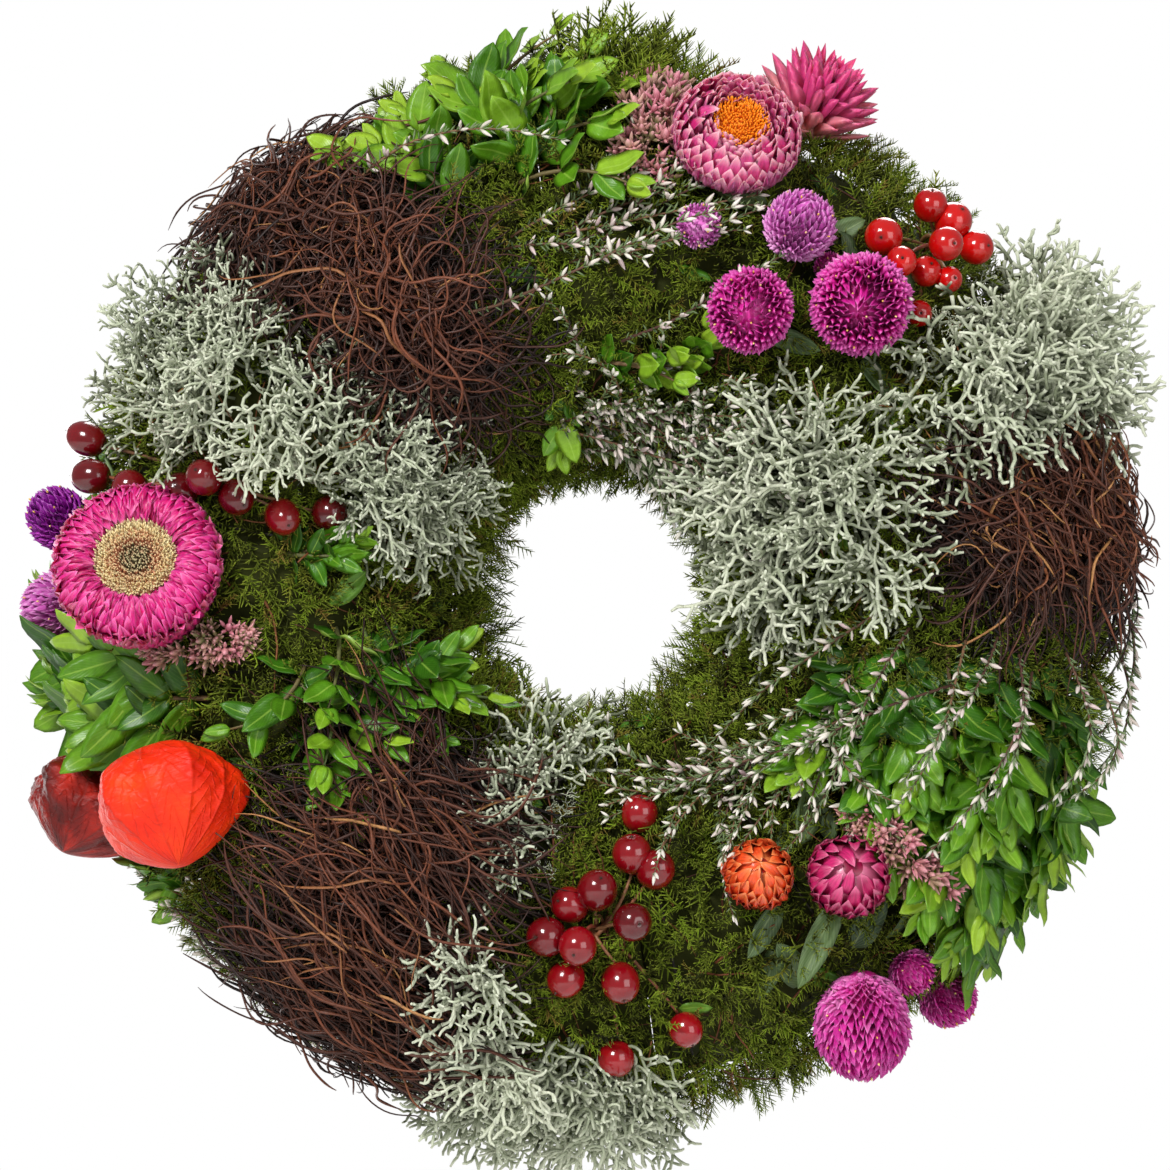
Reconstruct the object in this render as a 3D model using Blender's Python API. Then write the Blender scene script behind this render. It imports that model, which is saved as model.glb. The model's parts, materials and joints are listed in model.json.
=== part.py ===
"""Harvest door wreath: a straw ring wrapped in moss, bound with wire and dressed with plants.

The wreath hangs in the XZ plane. Its front looks along -Y, its flat straw back lies in y = 0,
+Z is up, and the origin is the nail that stands inside the raised hanger. Every piece hangs on
one empty at the ring's centre. A place on the wreath has three values: clock (degrees from the
top, clockwise as seen from the front), around (degrees round the moss from its front crest,
positive towards the rim) and lift (distance above the moss).
"""
import math

import bmesh
import bpy
from mathutils import Matrix, Vector

MM = 0.001

# Straw ring: a flat-backed half round.
RING_RADIUS = 85 * MM
STRAW_HALF_WIDTH = 25 * MM
STRAW_DEPTH = 36 * MM

# Moss: pads laid over the straw's front and sides.
MOSS_HALF_WIDTH = 47 * MM
MOSS_DEPTH = 50 * MM
MOSS_PADS = 6
MOSS_FIRST_JOINT = 52.5
MOSS_JOINT = 0.8 * MM
MOSS_EDGE = 87.0

# Binding wire, wound round straw and moss.
WIRE_RADIUS = 0.35 * MM
WIRE_TURNS = 16
WIRE_FIRST = 10.5

# Plants lie on the moss, clear of the binding wire, and their stems go into the straw.
CLEARANCE = 0.3 * MM
PLANT_LIFT = 3.2 * MM
PLANT_RIM = 3 * MM
STEM_RADIUS = 1.1 * MM
STEM_GRIP = 8 * MM
STALK_RADIUS = 0.6 * MM

# Hanger: a D-shaped wire loop whose straight bar turns under a staple in the straw.
LOOP_WIRE = 1.0 * MM
LOOP_HALF_WIDTH = 9 * MM
LOOP_HEIGHT = 17 * MM
LOOP_CORNER = 3 * MM
LOOP_ABOVE_RING = 8 * MM
NAIL_RADIUS = 1.5 * MM
STAPLE_WIRE = 0.8 * MM
STAPLE_LEG = 22 * MM
STAPLE_BEND = 0.8 * MM
SWING_CLEARANCE = 0.4 * MM

# Resolution of the facets.
RING_SEGMENTS = 48
SECTION_SEGMENTS = 10
PAD_SIDES = 16
PAD_SHARES = (0.4, 0.75, 1.0)
PAD_SQUARENESS = 0.7
HEAD_SIDES = 10
HEAD_STEPS = 6
STEM_SIDES = 8
BERRY_SIDES = 8
BERRY_STEPS = 5
STALK_SIDES = 4
BEND_STEPS = 3
LOOP_STEPS = 8

# The hinge axis, seen from the ring's centre, and the ring's centre below the nail.
HINGE_DEPTH = LOOP_WIRE + CLEARANCE
HINGE_HEIGHT = RING_RADIUS + LOOP_ABOVE_RING
RING_DROP = HINGE_HEIGHT + LOOP_HEIGHT - LOOP_WIRE - NAIL_RADIUS


# ---------------------------------------------------------------- objects and materials

def clear_scene():
    for item in list(bpy.data.objects):
        bpy.data.objects.remove(item, do_unlink=True)


def material(name, color, roughness, metallic=0.0):
    made = bpy.data.materials.new(name)
    made.use_nodes = True
    shader = made.node_tree.nodes["Principled BSDF"]
    shader.inputs["Base Color"].default_value = (*color, 1.0)
    shader.inputs["Roughness"].default_value = roughness
    shader.inputs["Metallic"].default_value = metallic
    return made


class Wreath:
    """The empty at the ring's centre, and the stem holes still to be cut."""

    def __init__(self):
        self.centre = bpy.data.objects.new("wreath_centre", None)
        self.centre.location = (0, 0, -RING_DROP)
        bpy.context.scene.collection.objects.link(self.centre)
        self.stem_holes = []

    def add(self, name, data, finish=None, place=None):
        """Link an object under the centre; without a finish it is only a cutter."""
        made = bpy.data.objects.new(name, data)
        bpy.context.scene.collection.objects.link(made)
        made.parent = self.centre
        if place is not None:
            made.matrix_local = place
        if finish is None:
            made.hide_render = True
            made.display_type = "WIRE"
        else:
            made.data.materials.append(finish)
        return made

    def add_mesh(self, name, builder, finish=None, place=None):
        """Turn a bmesh into a smooth-shaded object with its faces pointing out."""
        bmesh.ops.recalc_face_normals(builder, faces=builder.faces)
        mesh = bpy.data.meshes.new(name)
        builder.to_mesh(mesh)
        builder.free()
        mesh.shade_smooth()
        mesh.set_sharp_from_angle(angle=math.radians(50))
        return self.add(name, mesh, finish, place)


def boolean(target, other, operation):
    modifier = target.modifiers.new(operation.title(), "BOOLEAN")
    modifier.operation = operation
    modifier.object = other
    modifier.solver = "EXACT"
    return modifier


# ---------------------------------------------------------------- places on the wreath

def ring_point(clock, radius, y):
    """A point at a clock angle, a distance from the ring's axis and a depth."""
    turn = math.radians(clock)
    return Vector((radius * math.sin(turn), y, radius * math.cos(turn)))


def moss_point(clock, around, lift):
    tilt = math.radians(around)
    radius = RING_RADIUS + (MOSS_HALF_WIDTH + lift) * math.sin(tilt)
    return ring_point(clock, radius, -(MOSS_DEPTH + lift) * math.cos(tilt))


def moss_frame(clock, around):
    """A frame on the moss whose Z runs outward, the way lift is measured."""
    outward = moss_point(clock, around, 1.0) - moss_point(clock, around, 0.0)
    turn = outward.to_track_quat("Z", "Y").to_matrix().to_4x4()
    return Matrix.Translation(moss_point(clock, around, 0.0)) @ turn


def straw_lift(around):
    """The lift, below zero, at which the outward line through the moss meets the straw."""
    across = (math.sin(math.radians(around)) / STRAW_HALF_WIDTH) ** 2
    deep = (math.cos(math.radians(around)) / STRAW_DEPTH) ** 2
    half = MOSS_HALF_WIDTH * across + MOSS_DEPTH * deep
    rest = MOSS_HALF_WIDTH ** 2 * across + MOSS_DEPTH ** 2 * deep - 1.0
    return (-half + math.sqrt(half ** 2 - (across + deep) * rest)) / (across + deep)


# ---------------------------------------------------------------- ways of making a solid

def half_round(half_width, depth):
    """Points of a half-round section about the ring's centre line, inner side to outer side."""
    points = []
    for step in range(SECTION_SEGMENTS + 1):
        around = math.radians(MOSS_EDGE * (2.0 * step / SECTION_SEGMENTS - 1.0))
        points.append((RING_RADIUS + half_width * math.sin(around), -depth * math.cos(around)))
    return points


def swept_sector(outline, first, last, segments):
    """Sweep a closed (radius, y) outline round the ring's axis between two clock angles."""
    builder = bmesh.new()
    whole = last - first >= 360.0
    loops = []
    for step in range(segments if whole else segments + 1):
        clock = first + (last - first) * step / segments
        loops.append([builder.verts.new(ring_point(clock, r, y)) for r, y in outline])
    if whole:
        loops.append(loops[0])
    else:
        builder.faces.new(loops[0])
        builder.faces.new(loops[-1])
    for one, two in zip(loops, loops[1:]):
        for i in range(len(outline)):
            builder.faces.new((one[i - 1], one[i], two[i], two[i - 1]))
    return builder


def turned(profile, sides):
    """Spin a (radius, height) profile, which starts and ends on the axis, about Z."""
    builder = bmesh.new()
    points = [builder.verts.new((r, 0.0, z)) for r, z in profile]
    edges = [builder.edges.new(pair) for pair in zip(points, points[1:])]
    bmesh.ops.spin(builder, geom=points + edges, cent=(0, 0, 0), axis=(0, 0, 1),
                   angle=math.tau, steps=sides, use_merge=True, use_duplicate=False)
    bmesh.ops.remove_doubles(builder, verts=builder.verts, dist=0.01 * MM)
    return builder


def add_rod(builder, start, end, radius, sides):
    run = end - start
    turn = run.to_track_quat("Z", "Y").to_matrix().to_4x4()
    bmesh.ops.create_cone(builder, cap_ends=True, segments=sides, radius1=radius, radius2=radius,
                          depth=run.length, matrix=Matrix.Translation((start + end) / 2) @ turn)


def bent_wire(name, points, radius, resolution, closed=False):
    """A round wire along straight stretches between points."""
    curve = bpy.data.curves.new(name, "CURVE")
    curve.dimensions = "3D"
    curve.bevel_depth = radius
    curve.bevel_resolution = resolution
    curve.use_fill_caps = True
    spline = curve.splines.new("POLY")
    spline.points.add(len(points) - 1)
    spline.use_cyclic_u = closed
    for spot, point in zip(spline.points, points):
        spot.co = (*point, 1.0)
    return curve


# ---------------------------------------------------------------- straw, moss and wire

def straw_ring(wreath, finish):
    inner = (RING_RADIUS - STRAW_HALF_WIDTH, 0.0)
    outer = (RING_RADIUS + STRAW_HALF_WIDTH, 0.0)
    outline = [inner, *half_round(STRAW_HALF_WIDTH, STRAW_DEPTH), outer]
    return wreath.add_mesh("straw_ring_base", swept_sector(outline, 0.0, 360.0, RING_SEGMENTS),
                           finish)


def moss_pads(wreath, finish):
    """Moss pads, each returned with the clock angles of the joints at its two ends."""
    span = 360.0 / MOSS_PADS
    joint = math.degrees(MOSS_JOINT / RING_RADIUS) / 2
    under = half_round(STRAW_HALF_WIDTH + CLEARANCE, STRAW_DEPTH + CLEARANCE)
    outline = half_round(MOSS_HALF_WIDTH, MOSS_DEPTH) + under[::-1]
    pads = []
    for number in range(MOSS_PADS):
        first = MOSS_FIRST_JOINT + number * span
        last = first + span
        builder = swept_sector(outline, first + joint, last - joint, RING_SEGMENTS // MOSS_PADS)
        pads.append((first, last, wreath.add_mesh(f"moss_pad_{number + 1}", builder, finish)))
    return pads


def binding_wire(wreath, finish):
    """One wire: each turn crosses the moss in one plane and steps on along the back."""
    lift = CLEARANCE + WIRE_RADIUS
    points = []
    for turn in range(WIRE_TURNS):
        clock = WIRE_FIRST + turn * 360.0 / WIRE_TURNS
        points.append(ring_point(clock, RING_RADIUS - MOSS_HALF_WIDTH - lift, lift))
        for step in range(SECTION_SEGMENTS + 1):
            around = MOSS_EDGE * (2.0 * step / SECTION_SEGMENTS - 1.0)
            points.append(moss_point(clock, around, lift))
        points.append(ring_point(clock, RING_RADIUS + MOSS_HALF_WIDTH + lift, lift))
    wreath.add("binding_wire", bent_wire("binding_wire", points, WIRE_RADIUS, 0), finish)


# ---------------------------------------------------------------- hanger

def arc_points(centre_x, centre_z, radius, first, last, steps):
    """Points of an arc in the XZ plane; angles run from +X towards +Z."""
    points = []
    for step in range(steps + 1):
        turn = math.radians(first + (last - first) * step / steps)
        points.append(Vector((centre_x + radius * math.cos(turn), 0,
                              centre_z + radius * math.sin(turn))))
    return points


def hanging_loop(wreath, finish):
    """The loop hangs down from its straight bar, which lies on the hinge axis."""
    corner = LOOP_HALF_WIDTH - LOOP_CORNER
    points = arc_points(-corner, -LOOP_CORNER, LOOP_CORNER, 180, 90, BEND_STEPS)
    points += arc_points(corner, -LOOP_CORNER, LOOP_CORNER, 90, 0, BEND_STEPS)
    points += arc_points(0, LOOP_HALF_WIDTH - LOOP_HEIGHT, LOOP_HALF_WIDTH, 0, -180, LOOP_STEPS)
    place = Matrix.Translation((0, HINGE_DEPTH, HINGE_HEIGHT))
    curve = bent_wire("hanging_loop", points, LOOP_WIRE, 2, closed=True)
    wreath.add("hanging_loop", curve, finish, place)


def hanging_staple(wreath, finish):
    """A U of wire over the loop's bar; returns the cutter for its two legs."""
    half = LOOP_WIRE + SWING_CLEARANCE + STAPLE_WIRE
    bend = STAPLE_BEND
    corner = half - bend
    points = [Vector((-STAPLE_LEG, 0, -half))]
    points += arc_points(corner, -corner, bend, -90, 0, BEND_STEPS)
    points += arc_points(corner, corner, bend, 0, 90, BEND_STEPS)
    points += [Vector((-STAPLE_LEG, 0, half))]
    place = Matrix.Translation((0, HINGE_DEPTH, HINGE_HEIGHT)) @ Matrix.Rotation(math.pi / 2, 4, "Z")
    wreath.add("hanging_staple", bent_wire("hanging_staple", points, STAPLE_WIRE, 2), finish, place)
    builder = bmesh.new()
    for side in (-half, half):
        add_rod(builder, Vector((-STAPLE_LEG - CLEARANCE, 0, side)),
                Vector((HINGE_DEPTH, 0, side)), STAPLE_WIRE + CLEARANCE, STEM_SIDES)
    return wreath.add_mesh("hanging_staple_holes", builder, place=place)


# ---------------------------------------------------------------- plants

def plant_pad(wreath, finish, name, clock, around, clock_half, around_half, lean, height):
    """A domed pad of plants that follows the moss. Lean shifts its rim end round the clock."""
    builder = bmesh.new()

    def ring(share, lift):
        spots = []
        for step in range(PAD_SIDES):
            turn = math.tau * step / PAD_SIDES
            p, q = (share * math.copysign(abs(part) ** PAD_SQUARENESS, part)
                    for part in (math.cos(turn), math.sin(turn)))
            spots.append(builder.verts.new(
                moss_point(clock + clock_half * p + lean * q, around + around_half * q, lift)))
        return spots

    dome = height * MM - PLANT_RIM
    under = builder.verts.new(moss_point(clock, around, PLANT_LIFT))
    over = builder.verts.new(moss_point(clock, around, PLANT_LIFT + PLANT_RIM + dome))
    rings = [ring(share, PLANT_LIFT) for share in PAD_SHARES]
    for share in reversed(PAD_SHARES):
        rings.append(ring(share, PLANT_LIFT + PLANT_RIM + dome * (1.0 - share ** 2)))
    for i in range(PAD_SIDES):
        builder.faces.new((under, rings[0][i - 1], rings[0][i]))
        builder.faces.new((over, rings[-1][i], rings[-1][i - 1]))
        for one, two in zip(rings, rings[1:]):
            builder.faces.new((one[i - 1], two[i - 1], two[i], one[i]))
    wreath.add_mesh(name, builder, finish)


def stem_profile(around, top):
    """The stem from its point in the straw up to the underside of what it carries."""
    end = straw_lift(around) - STEM_GRIP
    return [(0.0, end), (STEM_RADIUS * 0.5, end), (STEM_RADIUS, end + 2 * STEM_RADIUS),
            (STEM_RADIUS, top)]


def stem_hole(wreath, name, clock, around):
    """A cutter for a stem's hole, kept with its clock angle until the holes are cut."""
    end = straw_lift(around) - STEM_GRIP - CLEARANCE
    wide = STEM_RADIUS + CLEARANCE
    profile = [(0.0, end), (wide, end), (wide, PLANT_LIFT), (0.0, PLANT_LIFT)]
    cutter = wreath.add_mesh(name + "_hole", turned(profile, STEM_SIDES),
                             place=moss_frame(clock, around))
    wreath.stem_holes.append((clock % 360.0, cutter))


def oval_profile(radius, height, base):
    """An egg from its underside to its tip, open where the stem joins it."""
    points = []
    for step in range(1, HEAD_STEPS):
        turn = math.pi * step / HEAD_STEPS
        points.append((radius * math.sin(turn), base + height * (1.0 - math.cos(turn)) / 2))
    return points + [(0.0, base + height)]


def cup_profile(radius, height, disc, base):
    """An open flower: a bowl of petals whose rim curls in over a sunken disc."""
    return [(0.45 * radius, base + 0.06 * height), (0.85 * radius, base + 0.28 * height),
            (radius, base + 0.55 * height), (0.9 * radius, base + 0.85 * height),
            (0.7 * radius, base + height), (disc, base + 0.82 * height),
            (0.5 * disc, base + 0.9 * height), (0.0, base + 0.92 * height)]


def head(wreath, finish, name, clock, around, radius, height, lift, disc=None):
    """A flower head, bud or lantern on its stem; sizes in millimetres."""
    if disc is None:
        top = oval_profile(radius * MM, height * MM, lift * MM)
    else:
        top = cup_profile(radius * MM, height * MM, disc * MM, lift * MM)
    builder = turned(stem_profile(around, lift * MM) + top, HEAD_SIDES)
    wreath.add_mesh(name, builder, finish, moss_frame(clock, around))
    stem_hole(wreath, name, clock, around)


def berry_centre(hub, right, up, lift):
    """Where a berry lies, offset from the hub as the front view shows it."""
    x = hub.x + right
    z = hub.z + up
    clock = math.degrees(math.atan2(x, z))
    share = (math.hypot(x, z) - RING_RADIUS) / (MOSS_HALF_WIDTH + lift)
    around = math.degrees(math.asin(max(-1.0, min(1.0, share))))
    return moss_point(clock, around, lift)


def berry_cluster(wreath, finish, name, clock, around, berries):
    """Berries on stalks that meet at one stem, joined into one solid; sizes in millimetres."""
    builder = bmesh.new()
    hub = moss_point(clock, around, PLANT_LIFT + 2 * STALK_RADIUS)
    for right, up, radius, lift in berries:
        centre = berry_centre(hub, right * MM, up * MM, lift * MM)
        bmesh.ops.create_uvsphere(builder, u_segments=BERRY_SIDES, v_segments=BERRY_STEPS,
                                  radius=radius * MM, matrix=Matrix.Translation(centre))
        add_rod(builder, hub, centre, STALK_RADIUS, STALK_SIDES)
    cluster = wreath.add_mesh(name, builder, finish)

    knot = oval_profile(2 * STEM_RADIUS, 4 * STEM_RADIUS, PLANT_LIFT)
    builder = turned(stem_profile(around, PLANT_LIFT) + knot, STEM_SIDES)
    stem = wreath.add_mesh(name + "_stem", builder, place=moss_frame(clock, around))
    boolean(cluster, stem, "UNION").use_self = True
    stem_hole(wreath, name, clock, around)


def cut_stem_holes(wreath, straw, pads):
    for clock, cutter in wreath.stem_holes:
        boolean(straw, cutter, "DIFFERENCE")
        for first, last, pad in pads:
            if first <= clock < last or first <= clock + 360.0 < last:
                boolean(pad, cutter, "DIFFERENCE")


# ---------------------------------------------------------------- planting plan

# Pads: clock, around, half span in clock, half span in around, lean (degrees), height (mm).
ROOT_NESTS = (
    ("root_nest_upper_left", 324, 25, 10.5, 55, -4, 22),
    ("root_nest_right", 82, 42, 10, 40, 0, 20),
    ("root_nest_lower_left", 215, 18, 14, 56, -9, 22),
)
SILVER_BUSHES = (
    ("silver_bush_left", 300, 10, 10, 62, 0, 18),
    ("silver_bush_right_outer", 59, 50, 9.5, 34, 0, 16),
    ("silver_bush_right_inner", 70, -31, 19, 27, -4, 14),
    ("silver_bush_bottom_upper", 194, -30, 8, 28, 0, 14),
    ("silver_bush_bottom_lower", 185, 68, 12, 22, 0, 16),
)
BOXWOOD_SPRIGS = (
    ("boxwood_top", 346, 46, 9, 28, 0, 16),
    ("boxwood_inner_top", 4, -20, 11, 14, 0, 14),
    ("boxwood_left_outer", 256, 52, 4, 26, 0, 14),
    ("boxwood_left_inner", 254, -16, 12, 24, 0, 18),
    ("boxwood_left_tip", 234, 72, 5, 14, 0, 14),
    ("boxwood_rosette", 276, -12, 4.5, 13, 0, 12),
    ("boxwood_right", 113, 42, 13, 38, 0, 20),
)
HEATHER_SPRIGS = (
    ("heather_top", 352, 6, 12, 6, 0, 8),
    ("heather_top_edge", 347, 83, 10, 5, 0, 8),
    ("heather_inner_top", 12, -52, 36, 12, 0, 10),
    ("heather_right", 121, -25, 9, 19, -22, 10),
    ("heather_lower_left", 215, 83, 14, 4, 0, 8),
)
SEDUM_TUFTS = (
    ("sedum_top", 7, 46, 4, 20, 0, 12),
    ("sedum_left", 262.8, 22, 2.2, 16, 0, 8),
    ("sedum_lower_right", 130, 22, 3, 20, 0, 12),
)

# Open strawflowers: clock, around, radius, height, lift of the underside and disc radius (mm).
STRAWFLOWERS = (
    ("strawflower_left", 273.2, 30, 22, 22, 6, 10),
    ("strawflower_top", 17.1, 38, 17, 20, 6, 6),
    ("strawflower_side", 24.4, 70, 16, 18, 5, 5),
)
# Closed heads: clock, around, radius, height and lift of the underside (mm).
ORANGE_BUD = ("strawflower_bud_orange", 149.8, -2, 9, 17, 5)
CRIMSON_BUD = ("strawflower_bud_crimson", 138, 11, 11, 18, 5)
VIOLET_AMARANTH = ("amaranth_left_1", 278.1, 74, 8, 20, 4)
AMARANTHS = (
    ("amaranth_upper_1", 29, 22, 8.5, 18, 6),
    ("amaranth_upper_2", 28.5, -2, 11, 24, 4),
    ("amaranth_upper_3", 42.4, 14, 12, 24, 5),
    ("amaranth_upper_4", 35.5, 20, 4, 8, 4),
    ("amaranth_upper_5", 15.7, 14, 6, 11, 4),
    ("amaranth_left_2", 268.5, 79, 9, 18, 4),
    ("amaranth_lower_1", 148.2, 46, 12, 26, 4),
    ("amaranth_lower_2", 140, 50, 6.5, 12, 4),
    ("amaranth_lower_3", 138.8, 75, 8, 17, 4),
)
LANTERN_FRONT = ("physalis_lantern_front", 243.4, 34, 18, 32, 4)
LANTERN_REAR = ("physalis_lantern_rear", 247.1, 72, 16, 26, 4)

# Berries: clock and around of the hub, then each berry's offset right and up, radius and lift (mm).
BRIGHT_BERRIES = ("berries_upper_right", 44, 58, (
    (-12, 3, 5.0, 12), (7, 8, 5.0, 15), (13, 1, 4.5, 15), (1, 12, 4.5, 15), (4, 1, 4.5, 19),
    (-1, -6, 4.0, 12), (5, -8, 3.5, 13), (-3, -17, 3.5, 9), (-8, -4, 4.0, 17)))
DARK_BERRIES = (
    ("berries_left", 286.5, 22, (
        (-36, 12, 4.6, 14), (-34, 2, 4.6, 13), (-23, -1, 4.6, 9), (-9, -2, 4.6, 9),
        (-2, 1, 4.6, 14), (6, -4, 4.6, 9), (18, -9, 4.6, 8), (30, -8, 4.6, 8))),
    ("berries_bottom", 179, 2, (
        (10, 30, 4.8, 8), (8, 20, 5.2, 10), (-1, 11, 5.2, 12), (14, 16, 5.0, 9),
        (-14, -1, 5.2, 11), (-8, 7, 4.8, 8), (-6, -3, 5.0, 15), (8, 3, 5.0, 14),
        (-9, -12, 4.8, 9), (5, -13, 5.0, 10), (4, -34, 4.8, 8), (22, -26, 4.4, 8))),
)


def plant_everything(wreath):
    pads = (
        (ROOT_NESTS, material("root_fibre", (0.10, 0.045, 0.028), 0.8)),
        (SILVER_BUSHES, material("silver_twig", (0.60, 0.64, 0.56), 0.85)),
        (BOXWOOD_SPRIGS, material("boxwood_leaf", (0.10, 0.24, 0.03), 0.45)),
        (HEATHER_SPRIGS, material("heather", (0.30, 0.34, 0.20), 0.7)),
        (SEDUM_TUFTS, material("sedum", (0.48, 0.22, 0.24), 0.7)),
    )
    for group, finish in pads:
        for entry in group:
            plant_pad(wreath, finish, *entry)

    head(wreath, material("bud_orange", (0.60, 0.10, 0.03), 0.5), *ORANGE_BUD)
    head(wreath, material("bud_crimson", (0.40, 0.03, 0.08), 0.5), *CRIMSON_BUD)
    head(wreath, material("amaranth_violet", (0.25, 0.02, 0.28), 0.6), *VIOLET_AMARANTH)
    head(wreath, material("lantern_orange", (0.85, 0.10, 0.02), 0.5), *LANTERN_FRONT)
    head(wreath, material("lantern_faded", (0.35, 0.03, 0.02), 0.6), *LANTERN_REAR)
    heads = (
        (STRAWFLOWERS, material("strawflower_pink", (0.62, 0.10, 0.30), 0.5)),
        (AMARANTHS, material("amaranth_magenta", (0.48, 0.07, 0.42), 0.6)),
    )
    for group, finish in heads:
        for entry in group:
            head(wreath, finish, *entry)

    berry_cluster(wreath, material("berry_bright", (0.65, 0.01, 0.01), 0.2), *BRIGHT_BERRIES)
    dark = material("berry_dark", (0.35, 0.005, 0.02), 0.2)
    for entry in DARK_BERRIES:
        berry_cluster(wreath, dark, *entry)


def main():
    clear_scene()
    wreath = Wreath()
    straw = straw_ring(wreath, material("straw", (0.62, 0.46, 0.22), 0.75))
    pads = moss_pads(wreath, material("moss", (0.09, 0.12, 0.025), 0.9))
    binding_wire(wreath, material("binding_wire", (0.05, 0.045, 0.04), 0.5, 1.0))
    zinc = material("zinc_wire", (0.55, 0.56, 0.57), 0.35, 1.0)
    hanging_loop(wreath, zinc)
    boolean(straw, hanging_staple(wreath, zinc), "DIFFERENCE")
    plant_everything(wreath)
    cut_stem_holes(wreath, straw, pads)


main()
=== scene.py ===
"""Looks of the harvest door wreath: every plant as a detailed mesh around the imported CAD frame."""
import json
import math

import bpy
import numpy as np
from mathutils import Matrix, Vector


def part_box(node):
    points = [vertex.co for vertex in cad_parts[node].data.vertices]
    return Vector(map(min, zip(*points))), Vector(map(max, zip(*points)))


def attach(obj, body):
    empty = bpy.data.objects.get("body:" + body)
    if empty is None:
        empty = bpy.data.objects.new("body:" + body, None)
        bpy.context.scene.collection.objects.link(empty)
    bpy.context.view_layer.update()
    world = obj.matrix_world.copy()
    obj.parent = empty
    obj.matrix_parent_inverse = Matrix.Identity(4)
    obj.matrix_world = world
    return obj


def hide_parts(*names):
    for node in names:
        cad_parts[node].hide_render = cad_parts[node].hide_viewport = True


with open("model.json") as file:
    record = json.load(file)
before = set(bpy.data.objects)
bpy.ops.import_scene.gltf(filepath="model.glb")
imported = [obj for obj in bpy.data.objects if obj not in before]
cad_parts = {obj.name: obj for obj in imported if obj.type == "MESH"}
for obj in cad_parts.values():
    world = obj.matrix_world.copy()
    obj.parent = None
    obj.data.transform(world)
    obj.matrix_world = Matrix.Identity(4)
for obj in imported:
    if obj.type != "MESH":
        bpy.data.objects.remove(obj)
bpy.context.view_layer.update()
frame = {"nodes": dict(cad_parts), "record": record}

MM = 0.001
BODY = "wreath"
GOLDEN = math.radians(137.508)
DOOR_GAP = 2 * MM        # how far in front of the door pieces start to be pressed flat
HEAD_FROM = 5.5 * MM     # lift over the moss from which a flower solid is its head, not its pin
PIN_RADIUS = 1.6 * MM    # points of a flower solid nearer its axis than this belong to its pin
FLOOR_Z = -0.5
FLOOR_RADIUS = 1.7
EYE_DISTANCE = 1.2
EYE_LENS = 136.7         # mm, on a 36 mm sensor

# ---------------------------------------------------------------- the ring, from the frame

_low, _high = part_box("straw_ring_base")
CENTRE_Z = (_low[2] + _high[2]) / 2
STRAW_OUTER = (_high[0] - _low[0]) / 2
STRAW_DEPTH = -_low[1]
_back = next(m for m in frame["record"]["mounts"] if m["name"] == "back_face")["pos_m"]
RING = math.hypot(_back[0], _back[2] - CENTRE_Z)
STRAW_HALF = STRAW_OUTER - RING
MOSS_NODES = [name for name in frame["nodes"] if name.startswith("moss_pad_")]
MOSS_HALF = max(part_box(name)[1][0] for name in MOSS_NODES) - RING
MOSS_DEPTH = -min(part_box(name)[0][1] for name in MOSS_NODES)


def on_moss(clock, around, lift):
    """Points on the moss from clock and around (degrees) and lift (metres)."""
    turn, tilt = np.radians(clock), np.radians(around)
    radius = RING + (MOSS_HALF + lift) * np.sin(tilt)
    return np.stack(np.broadcast_arrays(radius * np.sin(turn), -(MOSS_DEPTH + lift) * np.cos(tilt),
                                        CENTRE_Z + radius * np.cos(turn)), -1)


def locate(points):
    """Clock and around (degrees) and lift (metres) of points."""
    x, y, z = points[..., 0], points[..., 1], points[..., 2] - CENTRE_Z
    clock = np.degrees(np.arctan2(x, z)) % 360.0
    out = np.hypot(x, z) - RING
    lift = np.hypot(out, y) - MOSS_DEPTH
    for _ in range(6):
        around = np.arctan2(out / (MOSS_HALF + lift), -y / (MOSS_DEPTH + lift))
        lift = np.where(abs(np.cos(around)) > 0.5, -y / np.cos(around) - MOSS_DEPTH,
                        out / np.where(np.sin(around) == 0, 1, np.sin(around)) - MOSS_HALF)
    return clock, np.degrees(around), lift


def normal_at(points):
    """The outward direction of the moss at points near it."""
    radial = points - np.array([0, 0, CENTRE_Z])
    radial[..., 1] = 0
    length = np.linalg.norm(radial, axis=-1, keepdims=True)
    centre = radial / length * RING + np.array([0, 0, CENTRE_Z])
    return unit(points - centre)


def srgb(red, green, blue):
    """A linear colour from an sRGB one of 0 to 255."""
    parts = [value / 255.0 for value in (red, green, blue)]
    return tuple(p / 12.92 if p <= 0.04045 else ((p + 0.055) / 1.055) ** 2.4 for p in parts)


def tones(*stops):
    """Ramp stops (position, linear colour) from (position, red, green, blue), in sRGB of 0 to 255."""
    return [(stop[0], srgb(*stop[1:])) for stop in stops]


def unit(vectors):
    """The vectors at length 1."""
    return vectors / np.maximum(np.linalg.norm(vectors, axis=-1, keepdims=True), 1e-12)


# ---------------------------------------------------------------- mesh building

COLUMNS = 24


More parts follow.
